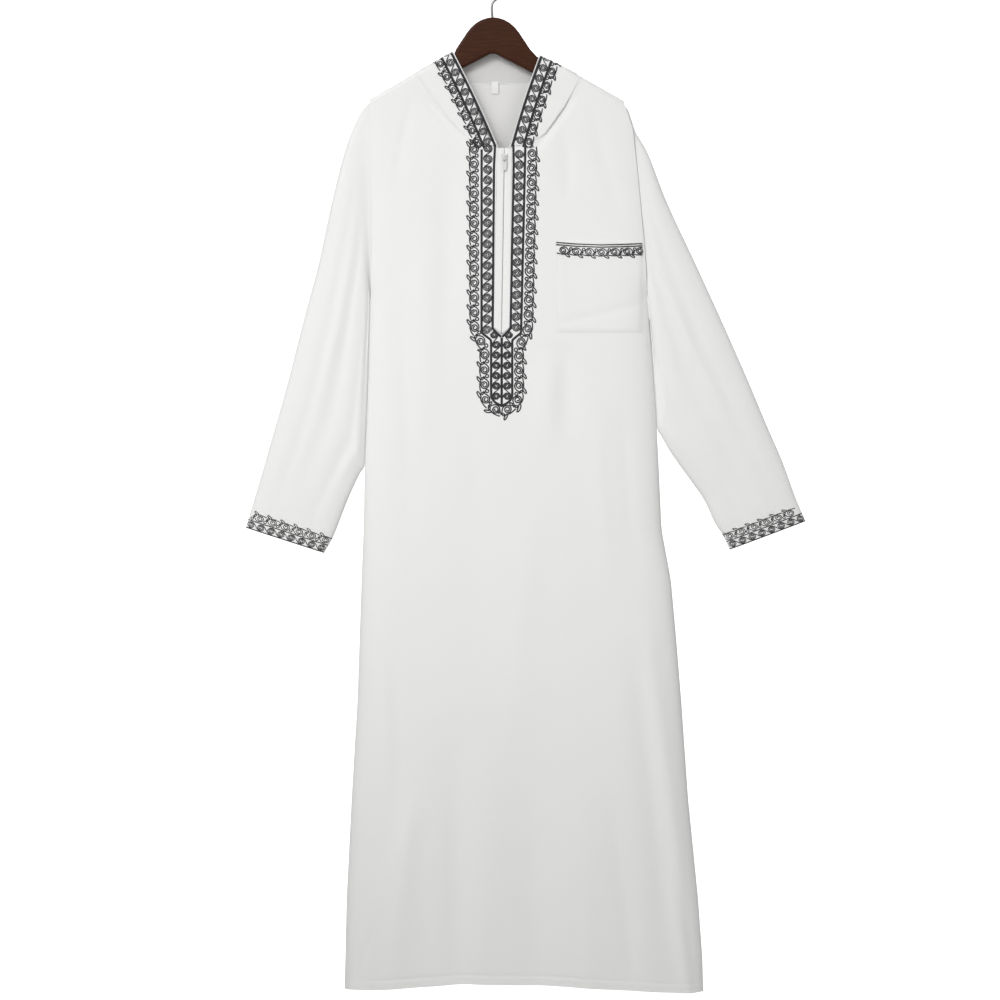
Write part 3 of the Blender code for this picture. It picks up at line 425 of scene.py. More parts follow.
def wood_material():
    made = new_material("dark wood", (0.050, 0.016, 0.008), 0.42, Specular_IOR_Level=0.1)
    tree = made.node_tree
    where = node(tree, "TexCoord")
    stretch = node(tree, "Mapping", Scale=(5.0, 60.0, 60.0))
    grain = node(tree, "TexNoise", Scale=6.0, Detail=6.0, Roughness=0.6)
    ramp = node(tree, "ValToRGB")
    for element, (position, color) in zip(ramp.color_ramp.elements, WOOD_GRAIN):
        element.position, element.color = position, color
    wire(
        tree, (where, "Object", stretch, "Vector"), (stretch, "Vector", grain, "Vector"),
        (grain, "Fac", ramp, "Fac"), (ramp, "Color", tree.nodes[SHADER], "Base Color"),
    )
    return made


WHITE = cotton("white cotton", (0.84, 0.84, 0.83))
# Darker copies of the same white cotton: painted shade for the inner faces of the back and of the
# hood.
PAINTED_SHADE_INSIDE = cotton("white cotton inside in painted shade", (0.77, 0.765, 0.755))
PAINTED_SHADE_IN_HOOD = cotton("white cotton in the hood in painted shade", (0.66, 0.655, 0.645))
THREAD = new_material("black thread", (0.017, 0.016, 0.021), 0.6, Sheen_Weight=0.15)
WHITE_THREAD = new_material("white thread", (0.82, 0.82, 0.81), 0.7)
WOOD = wood_material()
STEEL = new_material("steel wire", (0.20, 0.20, 0.205), 0.35, Metallic=1)
PALE = new_material("pale zip", (0.70, 0.70, 0.68), 0.4)

FINISHES = {"hanger": WOOD, "hanger_hook": STEEL, "zip_slider": PALE, "zip_pull": PALE}
for node_name, better in FINISHES.items():
    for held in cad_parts[node_name].material_slots:
        held.material = better


# --- Front and back panels

# Cells from the zip window to a side, over the window, above the slit's end and below it.
FRONT_CELLS, BACK_CELLS = (66, 8, 120, 170), (52, 8, 80, 120)
BACK_HEM_LIFT = -2
UPPER_EVEN, UPPER_EASE, LOWER_EASE = 0.35, 1.9, 1.5  # how the rows crowd at the neck and the hem
TOP_GUESS_Z, TOP_ROUNDS = -200.0, 20


def panel_top(x, neck):
    inside = (x > neck[0, 0]) & (x < neck[-1, 0])
    return np.where(inside, np.interp(x, neck[:, 0], neck[:, 1]), ridge_z(x))


def panel_grid(facing, neck, cells, hem_lift=0.0):
    """Points of a panel's outer face, with one row along the zip window's lower end."""
    side_columns, window_columns, upper_rows, lower_rows = cells
    side = 1 + np.linspace(0, 1, side_columns + 1)
    shares = np.concatenate([-side[::-1], np.linspace(-1, 1, window_columns + 1)[1:-1], side])
    top = np.full(shares.shape, TOP_GUESS_Z)
    for _ in range(TOP_ROUNDS):  # a column's x depends on its z, so its top is found step by step
        top = panel_top(column_x(shares, top, zip_line(top)[1]), neck)
    window = np.clip(1 - np.abs(shares), 0, 1)
    low = ZIP_SHOULDER_Z + (ZIP_END_Z - ZIP_SHOULDER_Z) * window
    t = np.linspace(0, 1, upper_rows + 1)[:, None]
    upper = top + (low - top) * (UPPER_EVEN * t + (1 - UPPER_EVEN) * t ** UPPER_EASE)
    end = hem_z(column_x(shares, HEM[0, 1], ZIP_HALF_END)) + hem_lift
    t = np.linspace(0, 1, lower_rows + 1)[1:, None]
    lower = low + (end - low) * (1 - (1 - t) ** LOWER_EASE)
    z = np.concatenate([upper, lower])
    x = column_x(shares[None, :] + 0 * z, z, zip_line(z)[1])
    return np.stack([x, facing * depth(x, z, facing), z], -1)


def panel_normals(grid, facing):
    """Normals that point outwards, along the shoulder seam and at the closed sides too."""
    normals = grid_normals(grid)
    normals[normals[..., 1] * facing < 0] *= -1
    x, z = grid[0, :, 0], grid[0, :, 2]
    shoulder = np.abs(z - ridge_z(x)) < 0.05
    up = unit(np.stack([ridge_z(x - 1) - ridge_z(x + 1), 0 * x, 0 * x + 2], -1))
    normals[0, shoulder] = up[shoulder]
    for column, side in ((0, -1), (-1, 1)):
        sewn = armhole_open(grid[:, column, 2]) < 0.02
        normals[sewn, column] = (side, 0, 0)
    return normals


def panel(name, grid, facing, **looks):
    inner = grid - panel_normals(grid, facing) * WALL
    return cloth(name, grid, inner, **looks)


front_grid = panel_grid(FRONT, FRONT_NECK, FRONT_CELLS)
closed = np.ones((front_grid.shape[0] - 1, front_grid.shape[1] - 1), bool)
side_cells, window_cells, rows_above, _ = FRONT_CELLS
closed[:rows_above, side_cells:side_cells + window_cells] = False
front_cloth = panel("front_cloth", front_grid, FRONT, keep=closed)
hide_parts("front")
back_grid = panel_grid(BACK, BACK_NECK, BACK_CELLS, BACK_HEM_LIFT)
# Its inner faces get painted shade: a darker copy of the cotton.
back_cloth = panel("back_cloth", back_grid, BACK, lining=PAINTED_SHADE_INSIDE)
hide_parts("back")


# --- Sleeves

# Outer and inner edge of each section, x and z, from the armhole to the cuff.
SLEEVE_RIGHT = (
    (-181.5, -191, -178.5, -478),
    (-191.5, -198.5, -185.6, -489),
    (-200.5, -210, -186.2, -505),
    (-213.5, -239, -187.4, -530),
    (-225, -273, -188, -568),
    (-243, -345, -189.6, -620),
    (-262, -434, -191.3, -668),
    (-278, -494, -192.9, -706),
    (-294, -556, -194.8, -738),
    (-311, -622, -205, -761),
    (-328, -682, -216, -785),
    (-344, -738, -226, -810),
    (-358, -786, -236, -836),
    (-366, -812, -243, -852),
    (-372.5, -834, -254.5, -872),
)
SLEEVE_LEFT = (
    (189, -190.5, 222, -478),
    (202, -202.5, 234, -491),
    (208, -217.5, 235.2, -507),
    (215.5, -239, 237.6, -530),
    (234, -272, 239.6, -562),
    (262, -344, 242.8, -604),
    (303, -432, 246.1, -648),
    (331, -493, 249, -684),
    (358, -553, 262, -711),
    (386, -617, 277, -734),
    (412, -679, 298, -763),
    (435, -732, 318, -792),
    (454, -784, 334, -826),
    (461.5, -802.5, 346, -844.5),
    (471, -824, 356.5, -867),
)
# Half the depth of each section, on both sides.
SLEEVE_DEPTHS = (9, 7.6, 8.4, 11, 13, 15, 16, 16, 16, 16, 15, 14, 13, 12, 11.5)
LAP = {-1: 1.4, 1: 1.3}  # how far a sleeve's head lies under the panels
ROOM_ABOVE, LEAST_ROOM = 8, 0.4
BESIDE = 0.3  # gap between a sleeve's inner edge and the body's side, where they lie together
CLOSE, CLOSE_OVER = 1.8, 4  # from which gap, and over how much more, the edge keeps its own
SLEEVE_SQUARENESS, SLEEVE_FLATNESS = 4, 2.4
SLEEVE_SPACING = 0.8
TUCKED, UNTUCKING = 2, 1.2  # section up to which a sleeve is under the panels, and the change
SLEEVE_RINGS, SLEEVE_POINTS = 120, 120
# Its unevenness: seed by side, height, length and how much finer it is than the body's.
SLEEVE_SEEDS, SLEEVE_NOISE = {-1: 21, 1: 22}, (0.7, 90, 1.6)
CREASE_WANDER = 0.05
CREASES_FROM, CREASES_OVER = 1.5, 2  # sections over which a sleeve's creases start

# Sleeve creases: section number and place across (1 at the outer edge, -1 at the inner edge) of
# each end, width across, height, and which face has it.
SLEEVE_RIGHT_CREASES = (
    (0.6, -0.92, 8.6, -0.90, 0.08, -3.5, FRONT),
    (2.2, -0.20, 11.5, 0.10, 0.16, -2.6, FRONT),
    (2.6, 0.36, 13, 0.50, 0.13, -1.8, FRONT),
    (4, -0.62, 12.5, -0.45, 0.12, -2.2, FRONT),
    (3.5, 0.08, 9, 0.28, 0.13, 1.9, FRONT),
    (6, -0.90, 10.4, -0.72, 0.10, 1.5, FRONT),
    (2.2, 0.10, 12, -0.10, 0.16, -2.8, BACK),
    (3, -0.45, 12, -0.30, 0.13, -2, BACK),
    (4, 0.50, 13, 0.42, 0.14, -2, BACK),
)
SLEEVE_LEFT_CREASES = (
    (0.6, -0.86, 8, -0.84, 0.13, -7, FRONT),
    (2.2, -0.10, 12, 0.05, 0.15, -2.8, FRONT),
    (2.8, 0.40, 12.8, 0.55, 0.13, -1.9, FRONT),
    (4.4, -0.60, 12.5, -0.35, 0.12, -2.4, FRONT),
    (3.8, 0.14, 9.2, 0.30, 0.12, 2, FRONT),
    (6.6, -0.88, 10.6, -0.70, 0.10, 1.6, FRONT),
    (2.2, -0.05, 12, 0.12, 0.16, -2.6, BACK),
    (3, 0.45, 12.6, 0.52, 0.13, -2, BACK),
    (4, -0.52, 12, -0.42, 0.14, -2.2, BACK),
)
SLEEVES = {
    -1: (np.column_stack([SLEEVE_RIGHT, SLEEVE_DEPTHS]), SLEEVE_RIGHT_CREASES),
    1: (np.column_stack([SLEEVE_LEFT, SLEEVE_DEPTHS]), SLEEVE_LEFT_CREASES),
}


def catmull_table(table, at):
    """Rows of a table (of any shape) read at fractional indices on a smooth curve."""
    at = np.clip(at, 0, len(table) - 1)
    i = np.minimum(at.astype(int), len(table) - 2)
    t = (at - i).reshape((-1,) + (1,) * (table.ndim - 1))
    p0, p1 = table[np.maximum(i - 1, 0)], table[i]
    p2, p3 = table[i + 1], table[np.minimum(i + 2, len(table) - 1)]
    return 0.5 * (
        2 * p1 + (p2 - p0) * t + (2 * p0 - 5 * p1 + 4 * p2 - p3) * t ** 2
        + (3 * p1 - p0 - 3 * p2 + p3) * t ** 3
    )


def signed_power(value, power):
    return np.sign(value) * np.abs(value) ** power


def armhole_room(side, z, facing):
    """How deep a sleeve may be where it lies under the panels."""
    z = np.maximum(z, UNDERARM_Z + ROOM_ABOVE)
    return np.maximum(depth(body_edge(side, z), z, facing) - LAP[side], LEAST_ROOM)


def sleeve_folds(creases, row, across, facing):
    fold = 0.0
    for number, crease in enumerate(creases):
        row_from, across_from, row_to, across_to, width, height, face = crease
        if face == facing:
            along = np.clip((row - row_from) / (row_to - row_from), 0, 1)
            straight = across_from + (across_to - across_from) * along
            middle = straight + CREASE_WANDER * np.sin(4.2 * along + number)
            fold = fold + height * np.sin(np.pi * along) * bell(across - middle, width)
    return fold


def sleeve_point(side, row, across, facing):
    """Outer face of a sleeve: row along its sections, across from -1 (inner) to 1 (outer)."""
    table, creases = SLEEVES[side]
    row, across = paired(row, across)
    section = catmull_table(table, row.ravel()).reshape(row.shape + (5,))
    outer_x, outer_z, inner_x, inner_z, half_depth = np.moveaxis(section, -1, 0)
    edge = body_edge(side, inner_z)
    apart = side * (inner_x - edge)
    closer = BESIDE + (apart - BESIDE) * smooth((apart - CLOSE) / CLOSE_OVER)
    inner_x = np.where(inner_z < UNDERARM_Z, edge + side * closer, inner_x)
    x = (outer_x + inner_x) / 2 + (outer_x - inner_x) / 2 * across
    z = (outer_z + inner_z) / 2 + (outer_z - inner_z) / 2 * across
    angle = np.arccos(np.clip(signed_power(across, SLEEVE_SQUARENESS / 2), -1, 1))
    fold = sleeve_folds(creases, row, across, facing)
    height, length, finer = SLEEVE_NOISE
    fold = fold + height * soft_noise(x * finer, z * finer, SLEEVE_SEEDS[side], length)
    fold = fold * (1 - np.abs(across) ** FOLD_SIDES) * smooth((row - CREASES_FROM) / CREASES_OVER)
    y = half_depth * np.sin(angle) ** (2 / SLEEVE_FLATNESS) + fold
    room = armhole_room(side, z, facing)
    free = smooth((row - TUCKED) / UNTUCKING)
    held = np.minimum(y, room + (np.maximum(y, room) - room) * free)
    y = np.where(row < TUCKED + UNTUCKING, held, y)
    return np.stack([x, facing * y, z], -1)


def sleeve_object(side):
    turn = full_turn(SLEEVE_POINTS)
    across = signed_power(np.cos(turn), SLEEVE_SPACING)[None, :]
    row = np.linspace(0, len(SLEEVES[side][0]) - 1, SLEEVE_RINGS + 1)[:, None]
    front, back = (sleeve_point(side, row, across, facing) for facing in (FRONT, BACK))
    outer = np.where((turn < np.pi)[None, :, None], back, front)
    normals = grid_normals(outer, wrap=True)
    centre = outer.mean(axis=1, keepdims=True)
    normals[((outer - centre) * normals).sum(-1) < 0] *= -1
    name = SIDE_NAMES[side] + "_sleeve_cloth"
    return cloth(name, outer, outer - normals * WALL, wrap=True)


sleeves = {side: sleeve_object(side) for side in SIDE_NAMES}
for side, sleeve in sleeves.items():
    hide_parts("sleeve_" + SIDE_NAMES[side])


# --- Hood

# Half sections from the hood's lowest point up to the hanger. Offsets are from its middle line
# sideways and, behind the back, outwards from the back's face. The columns are edge_dx, edge_z,
# edge_off, side_dx, side_z, side_off, mid_z and mid_off.
HOOD_BACK = np.array((
    (0, -442, 14, 5, -444, 8, -441, 1.5),
    (0, -430, 20, 36, -430, 9, -429, 1.2),
    (0, -398, 24, 72, -402, 10, -396, 1.2),
    (0, -350, 26, 100, -356, 11, -346, 1.2),
    (0, -304, 27, 116, -306, 11, -292, 1.2),
    (26, -274, 26, 122, -262, 11, -240, 1.2),
    (46, -232, 24, 124, -222, 10.5, -196, 1.2),
    (56, -186, 20, 123, -188, 9.5, -156, 2),
    (62, -148, 13, 121, -166, 7, -124, 4.5),
))
HOOD_LEAN, HOOD_MIDDLE_X, HOOD_MIDDLE_Z = -0.08, 5, -120
HOOD_CLOSER = 1.8
HOOD_LAST_STEP = 7
HOOD_STEPS = (0, 0.3, 0.6, 1, 2, 3, 4, 5, 6, 7)
HOOD_SEAM_ROWS = 5
HOOD_EDGE_TOP_DX, HOOD_EDGE_LOW_DX = 65, 10
HOOD_EDGE_END_Z = -258
HOOD_EDGE_BOW = -2
HOOD_ROLL_Z, HOOD_ROLL_OUT = -104, 4
HOOD_SEAM = 1.5
HOOD_MEET = 0.02  # half of the gap at the sewn middle seam
HOOD_CORNER_GAP, HOOD_CORNER_STEP = 0.7, 0.9
HOOD_CORNER_DROP, HOOD_BELOW_RIDGE = 1.5, 2.6
HOOD_RIDGE_DROPS = (5, 1.6)
HOOD_RIDGE_OUT = 0.5
BACK_NECK_MIDDLE_Z = -164
NECK_POINT = {-1: 117, 1: 134}
HOOD_HALF = 42  # cells from the hood's edge to its side, and from there to its middle seam
HOOD_FINE = 6  # finer rows between two control rows
# Creases across the hood's outer layer behind the back, in the folds' columns.
HOOD_FOLDS = (
    (-70, -300, -30, -440, 10, -3, 2),
    (60, -290, 40, -440, 11, -3.2, 2),
    (-40, -180, -84, -400, 12, 2.6, 3),
    (100, -190, 84, -390, 11, -2.6, 2),
    (-98, -190, -70, -410, 10, -2.8, 2),
)


def hood_middle(z):
    return HOOD_MIDDLE_X + HOOD_LEAN * (z - HOOD_MIDDLE_Z)


def hood_row_back(row, side):
    """A row of the part that hangs behind the back: out to the side, then in to the seam."""
    edge_dx, edge_z, edge_off, side_dx, side_z, side_off, mid_z, mid_off = row
    turn = np.pi / 2 * np.linspace(0, 1, HOOD_HALF + 1)
    first = (
        edge_dx + (side_dx - edge_dx) * np.sin(turn),
        edge_z + (side_z - edge_z) * (1 - np.cos(turn)),
        side_off + (edge_off - side_off) * np.maximum(np.cos(turn), 0) ** 0.7,
    )
    outer_layer = np.concatenate([np.cos(turn), 0 * turn[1:]])
    turn = turn[1:]
    second = (
        side_dx * np.cos(turn),
        mid_z + (side_z - mid_z) * (1 - np.sin(turn)),
        mid_off + (side_off - mid_off) * (1 - np.sin(turn)) ** 1.4,
    )
    dx, z, out = (np.concatenate(pair) for pair in zip(first, second))
    x = hood_middle(z) + side * np.maximum(dx, HOOD_MEET)
    behind = body["back_depth"](z) + fold_height(BACK_FOLDS, x, z)
    crease = fold_height(HOOD_FOLDS, x, z) * smooth(outer_layer * 2)
    return np.stack([x, behind + out + crease, z], -1)


def hood_front_edge(share, side):
    top_z = float(ridge_z(hood_middle(HOOD_MIDDLE_Z) + side * HOOD_EDGE_TOP_DX))
    z = top_z + (HOOD_EDGE_END_Z - top_z) * share
    dx = HOOD_EDGE_TOP_DX + (HOOD_EDGE_LOW_DX - HOOD_EDGE_TOP_DX) * share
    return hood_middle(z) + side * (dx + HOOD_EDGE_BOW * np.sin(np.pi * share)), z


def above_edge(table, x, away, reach):
    """The z of a line that lies away above a table's edge, square to it."""
    before, at, after = (np.interp(x + step, *table.T) for step in (-reach, 0, reach))
    return at + away * np.hypot(1, (after - before) / (2 * reach))


def front_cover(x, z):
    return SEAM / 2 + body["front_depth"](z) * rounding(x, z)


def back_cover(x, z, share):
    roll = HOOD_ROLL_OUT * (1 - share) ** 2
    return SEAM / 2 + (body["back_depth"](z) + roll) * rounding(x, z)


def hood_row_over(step, side):
    """A row over the shoulder: from the front edge out to the neck's corner, and in behind it."""
    share = step / HOOD_LAST_STEP
    edge_x, edge_z = hood_front_edge(share ** 1.5, side)
    inset = HOOD_CORNER_GAP + HOOD_CORNER_STEP * (HOOD_LAST_STEP - step)
    corner_x = side * (NECK_POINT[side] - inset)
    corner_z = float(ridge_z(corner_x))
    t = np.linspace(0, 1, HOOD_HALF + 1)
    along = 1 - (1 - t) ** HOOD_CLOSER
    x = edge_x + (corner_x - edge_x) * along
    straight = edge_z + (corner_z - edge_z) * along
    z = straight + (above_edge(FRONT_NECK, x, HOOD_SEAM, 4) - straight) * share ** 3
    z[-1] = corner_z
    outside = (np.abs(x) > abs(edge_x) - 1) | (step == 0)
    z = np.where(outside, np.minimum(z, ridge_z(x)), z)
    front = np.stack([x, -front_cover(x, z), z], -1)
    middle_z = HOOD_ROLL_Z + (BACK_NECK_MIDDLE_Z - HOOD_ROLL_Z) * share ** 1.3
    along = t[1:] ** HOOD_CLOSER
    x = corner_x + (hood_middle(middle_z) + side * HOOD_MEET - corner_x) * along
    start_z = corner_z - HOOD_CORNER_DROP
    rise = start_z + (middle_z - start_z) * smooth(along)
    z = rise + (above_edge(BACK_NECK, x, HOOD_SEAM, 4) - rise) * share ** 2
    z = np.minimum(z, ridge_z(x) - HOOD_BELOW_RIDGE * (1 - share))
    return np.concatenate([front, np.stack([x, back_cover(x, z, share), z], -1)])


def hood_row_behind_ridge(side, drop):
    x, y, z = hood_row_over(0, side).T
    outer = np.arange(len(x)) <= HOOD_HALF
    low_z = np.where(outer, ridge_z(x) - drop, z - drop * 0.5)
    out = back_cover(x, low_z, 1.0) + drop * HOOD_RIDGE_OUT
    return np.stack([x, np.where(outer, out, y + drop), low_z], -1)


def hood_object(side):
    rows = [hood_row_back(row, side) for row in HOOD_BACK]
    rows += [hood_row_behind_ridge(side, drop) for drop in HOOD_RIDGE_DROPS]
    rows += [hood_row_over(step, side) for step in HOOD_STEPS]
    at = np.linspace(0, len(rows) - 1, (len(rows) - 1) * HOOD_FINE + 1)
    outer = catmull_table(np.stack(rows), at)
    normals = grid_normals(outer) * side
    normals[:, -1, 0] = 0
    normals[:(HOOD_SEAM_ROWS - 1) * HOOD_FINE, 0, 0] = 0
    normals = unit(normals)
    name = SIDE_NAMES[side] + "_hood_cloth"
    # The hood's inner faces get painted shade: the darkest copy of the cotton.
    return cloth(name, outer, outer - normals * WALL, lining=PAINTED_SHADE_IN_HOOD), outer, normals


hoods = {side: hood_object(side) for side in SIDE_NAMES}
for side, (hood, _, _) in hoods.items():
    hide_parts("hood_" + SIDE_NAMES[side])


# --- Embroidery

THREAD_SIDES = 5
FINE = 0.82  # half width of a scroll's line
THREAD_HEIGHT = 0.5
CLEAR = 0.25  # how far a line's middle lies off the cloth
SHORTEST = 3  # points in the shortest stretch of a line that is kept
SLOPE_STEP = 0.8
STRIPE_STEP = 2.5
BAND_BEYOND = 40  # how far a band goes on past both ends


class Threads:
    """Satin lines laid on the cloth, gathered into one mesh."""

    def __init__(self, name):
        self.name = name
        self.points, self.faces, self.count = [], [], 0

    def line(self, placed, half_width=FINE, half_height=THREAD_HEIGHT, closed=False):
        """One line of thread. What would lie beyond the cloth is left out."""
        path, normals = placed
        shown = np.isfinite(path).all(axis=1)
        if shown.all():
            self.tube(path, normals, half_width, half_height, closed)
            return
        if closed:
            start = -int(np.argmin(shown))
            path, normals, shown = (np.roll(part, start, 0) for part in (path, normals, shown))
        turns = np.flatnonzero(np.diff(np.concatenate([[0], shown, [0]])))
        for first, last in turns.reshape(-1, 2):
            if last - first >= SHORTEST:
                self.tube(path[first:last], normals[first:last], half_width, half_height, False)

    def tube(self, path, normals, half_width, half_height, closed):
        ahead = np.roll(path, -1, 0) - np.roll(path, 1, 0) if closed else np.gradient(path, axis=0)
        side = unit(np.cross(ahead, normals))
        turn = full_turn(THREAD_SIDES) + np.pi / 2
        rings = (
            path[:, None]
            + side[:, None] * np.cos(turn)[None, :, None] * half_width
            + normals[:, None] * np.sin(turn)[None, :, None] * half_height
        )
        rows = len(path)
        index = np.arange(rows * THREAD_SIDES).reshape(rows, THREAD_SIDES) + self.count
        after = np.roll(index, -1, 1)
        quads = np.stack([index, after, np.roll(after, -1, 0), np.roll(index, -1, 0)], -1)
        self.faces += quads[: rows if closed else rows - 1].reshape(-1, 4).tolist()
        if not closed:
            self.faces += [index[0, ::-1].tolist(), index[-1].tolist()]
        self.points.append(rings.reshape(-1, 3))
        self.count += rows * THREAD_SIDES

    def build(self, material):
        points = np.concatenate(self.points) * MM
        return wear(mesh_object(self.name, points, self.faces, material))


def surface_lift(height, off=CLEAR):
    """Puts flat points (x, z) on the surface y = -height(x, z), with their normals."""

    def lift(x, z):
        slope_x = height(x - SLOPE_STEP, z) - height(x + SLOPE_STEP, z)
        slope_z = height(x, z - SLOPE_STEP) - height(x, z + SLOPE_STEP)
        normal = unit(np.stack([slope_x, -2 * SLOPE_STEP * np.ones_like(x), slope_z], -1))
        return np.stack([x, -height(x, z), z], -1) + normal * off, normal

    return lift


class Band:
    """Lays (s, t) on the cloth: s along a guide line, t square to it towards the band's outside."""

    def __init__(self, corners, outward, lift, soften=0):
        corners = np.asarray(corners, float)
        lengths = running_length(corners)
        self.length, self.lift = lengths[-1], lift
        self.at = np.arange(-BAND_BEYOND, self.length + BAND_BEYOND + 1, 1.0)
        beyond = BAND_BEYOND + 2  # the guide line goes on straight past both ends
        known = np.concatenate([[-beyond], lengths, [self.length + beyond]])
        tails = corners[[0, -1]] + unit(corners[[0, -1]] - corners[[1, -2]]) * beyond
        corners = np.concatenate([tails[:1], corners, tails[1:]])
        path = np.stack([np.interp(self.at, known, corners[:, k]) for k in (0, 1)], -1)
        if soften:
            taps = np.hanning(2 * soften + 3)[1:-1]
            taps /= taps.sum()
            path = np.pad(path, ((soften, soften), (0, 0)), mode="reflect", reflect_type="odd")
            path = np.stack([np.convolve(path[:, k], taps, "valid") for k in (0, 1)], -1)
        self.path = path
        tangent = unit(np.gradient(path, axis=0))
        self.aside = np.stack([tangent[:, 1], -tangent[:, 0]], -1) * outward

    def place(self, s, t):
        s, t = paired(s, t)
        return self.lift(*(
            np.interp(s, self.at, self.path[:, k]) + np.interp(s, self.at, self.aside[:, k]) * t
            for k in (0, 1)
        ))


def stripe(threads, band, s_from, s_to, t, half_width, lines=2, apart=0.95):
    """Lines of satin side by side along a band."""
    s = np.linspace(s_from, s_to, max(int(abs(s_to - s_from) / STRIPE_STEP), 2))
    for k in range(lines):
        offset = (2 * k - (lines - 1)) * half_width * apart
        threads.line(band.place(s, t + offset), half_width)


ARM_END = math.radians(-20)
ARM_EASE, EYE = 0.9, 0.9  # how evenly an arm grows, and the radius it starts from
JOIN_REACH = 0.75  # how far a slanting line follows its arm, as a share of the radius
ARM_WAY = np.array((math.sin(ARM_END), -math.cos(ARM_END)))


def bezier(start, start_way, end, end_way, reach, steps=8):
    u = np.linspace(0, 1, steps)[:, None]
    a, b = start + start_way * reach, end - end_way * reach
    return start * (1 - u) ** 3 + 3 * a * u * (1 - u) ** 2 + 3 * b * u ** 2 * (1 - u) + end * u ** 3


def arm(radius, end_angle, turns, steps=20, eye=EYE):
    """A spiral arm from its middle out, clockwise, ending at an angle. x runs inwards, y up."""
    share = np.linspace(0, 1, steps)
    angle = end_angle + 2 * np.pi * turns * (1 - share)
    reach = eye + (radius - eye) * share ** ARM_EASE
    return np.stack([reach * np.cos(angle), reach * np.sin(angle)], -1)


def running_scrolls(
    threads, band, centres, t_mid, radius, flip=1, thick=FINE, turns=1.15, stretch=1.0
):
    """Double spirals in a row, each joined to the next by a slanting line."""

    def put(path):
        threads.line(band.place(centre - flip * path[:, 1] * stretch, t_mid - path[:, 0]), thick)

    centres = np.sort(centres)[::flip]
    first = arm(radius, ARM_END, turns)
    second = arm(radius, ARM_END + math.pi, turns)
    for k, centre in enumerate(centres):
        pieces = [first]
        if k + 1 < len(centres):
            after = second + (0, -abs(centres[k + 1] - centre) / stretch)
            pieces.append(bezier(first[-1], ARM_WAY, after[-1], ARM_WAY, radius * JOIN_REACH)[1:-1])
            pieces.append(after[::-1])
        put(np.concatenate(pieces))
        if k == 0:
            put(second)


def oval(middle, long_half, short_half, tilt, steps=12):
    turn = full_turn(steps)
    along, across = long_half * np.cos(turn), short_half * np.sin(turn)
    c, s = math.cos(tilt), math.sin(tilt)
    return np.stack([middle[0] + along * c - across * s, middle[1] + along * s + across * c], -1)


# The scalloped motif, in millimetres from its disc's middle: x inwards, y up.
DISC_RADIUS, DISC_TURNS, DISC_EYE = 6.3, 1.8, 1.5
RINGS = (((3.9, 13), 2.35), ((-3.6, 9.2), 1.6))  # middle and radius
KNOT, KNOT_THICKER = ((-2.2, 12.4), (0.8, 10.4)), 0.4
LOOP = ((-8.3, 8), 4.9, 1.7, math.radians(122))  # middle, half length, half width and tilt
EDGE = np.array(((-6.2, 4.8), (-7, 1.2), (-6.9, -3.4), (-6.2, -7.6), (-5.6, -10.4)))
TAIL = np.array(((-0.8, 10), (3.2, 7.6), (5.7, 4.6), (6.5, 1.2)))


def scallops(threads, band, centres, t_mid, flip=1, across=1.0, along=1.0, thick=FINE):
    """Discs in a row, each with two small rings, a knot and a loop out of the band's edge."""

    def put(path, half_width=thick, closed=False):
        path = np.asarray(path, float)
        placed = band.place(centre - flip * path[:, 1] * along, t_mid - path[:, 0] * across)
        threads.line(placed, half_width, THREAD_HEIGHT, closed)

    spiral = arm(DISC_RADIUS, 0, DISC_TURNS, 30, DISC_EYE)[::-1] * (1, -1)
    disc = np.concatenate([TAIL, spiral])
    edge = catmull_table(EDGE, np.linspace(0, len(EDGE) - 1, 13))
    for centre in centres:
        put(disc)
        for middle, radius in RINGS:
            put(oval(middle, radius, radius, 0, 10), closed=True)
        put(KNOT, thick + KNOT_THICKER)
        put(oval(*LOOP), closed=True)
        put(edge)


def spread(first, last, pitch):
    """Places from first to last, as evenly as the pitch allows."""
    count = max(int(round((last - first) / pitch)), 1)
    return np.linspace(first, last, count + 1)


# --- Placket

# Its columns, as distances from the zip's middle line, and its heights.
STRIPE_INNER, SCROLLS, STRIPE_OUTER, SCALLOPS = 14.4, 23, 31.6, 42.4
TONGUE_STRIPE, TONGUE_SCROLLS = 15.8, 8.1
PLACKET_TOP_Z, SHOULDER_Z, WAIST_Z = -258, -541.5, -552.5
TONGUE_END_Z, TONGUE_TIP_Z = -638, -651.3
# Its lines from the top down: how far corners are rounded, then each point's distance and z.
PLACKET_LINES = {
    "inner": (2, (STRIPE_INNER - 1.2, PLACKET_TOP_Z), (STRIPE_INNER, -290),
              (STRIPE_INNER, -535.5), (0.9, ZIP_END_Z - 3.4)),
    "scrolls": (0, (SCROLLS, PLACKET_TOP_Z), (SCROLLS, SHOULDER_Z)),
    "outer": (2, (STRIPE_OUTER, PLACKET_TOP_Z), (STRIPE_OUTER, SHOULDER_Z),
              (TONGUE_STRIPE, WAIST_Z), (TONGUE_STRIPE, TONGUE_END_Z), (10.5, -645.5),
              (0, TONGUE_TIP_Z)),
    "tongue": (3, (12, -539.5), (11.6, -545), (TONGUE_SCROLLS, -558),
               (TONGUE_SCROLLS, -642)),
    "discs": (5, (SCALLOPS, PLACKET_TOP_Z), (SCALLOPS, -534), (37, -547), (25, -565),
              (25.8, -582), (25.8, -638), (19.5, -650), (7, -657.5)),
}
# How much further than these the outer columns are from the zip, at the top and at the waist.
PLACKET_LEAN = {-1: (3, -1.4), 1: (-0.6, -2.6)}
LEAN_FROM_Z = WAIST_Z + 4
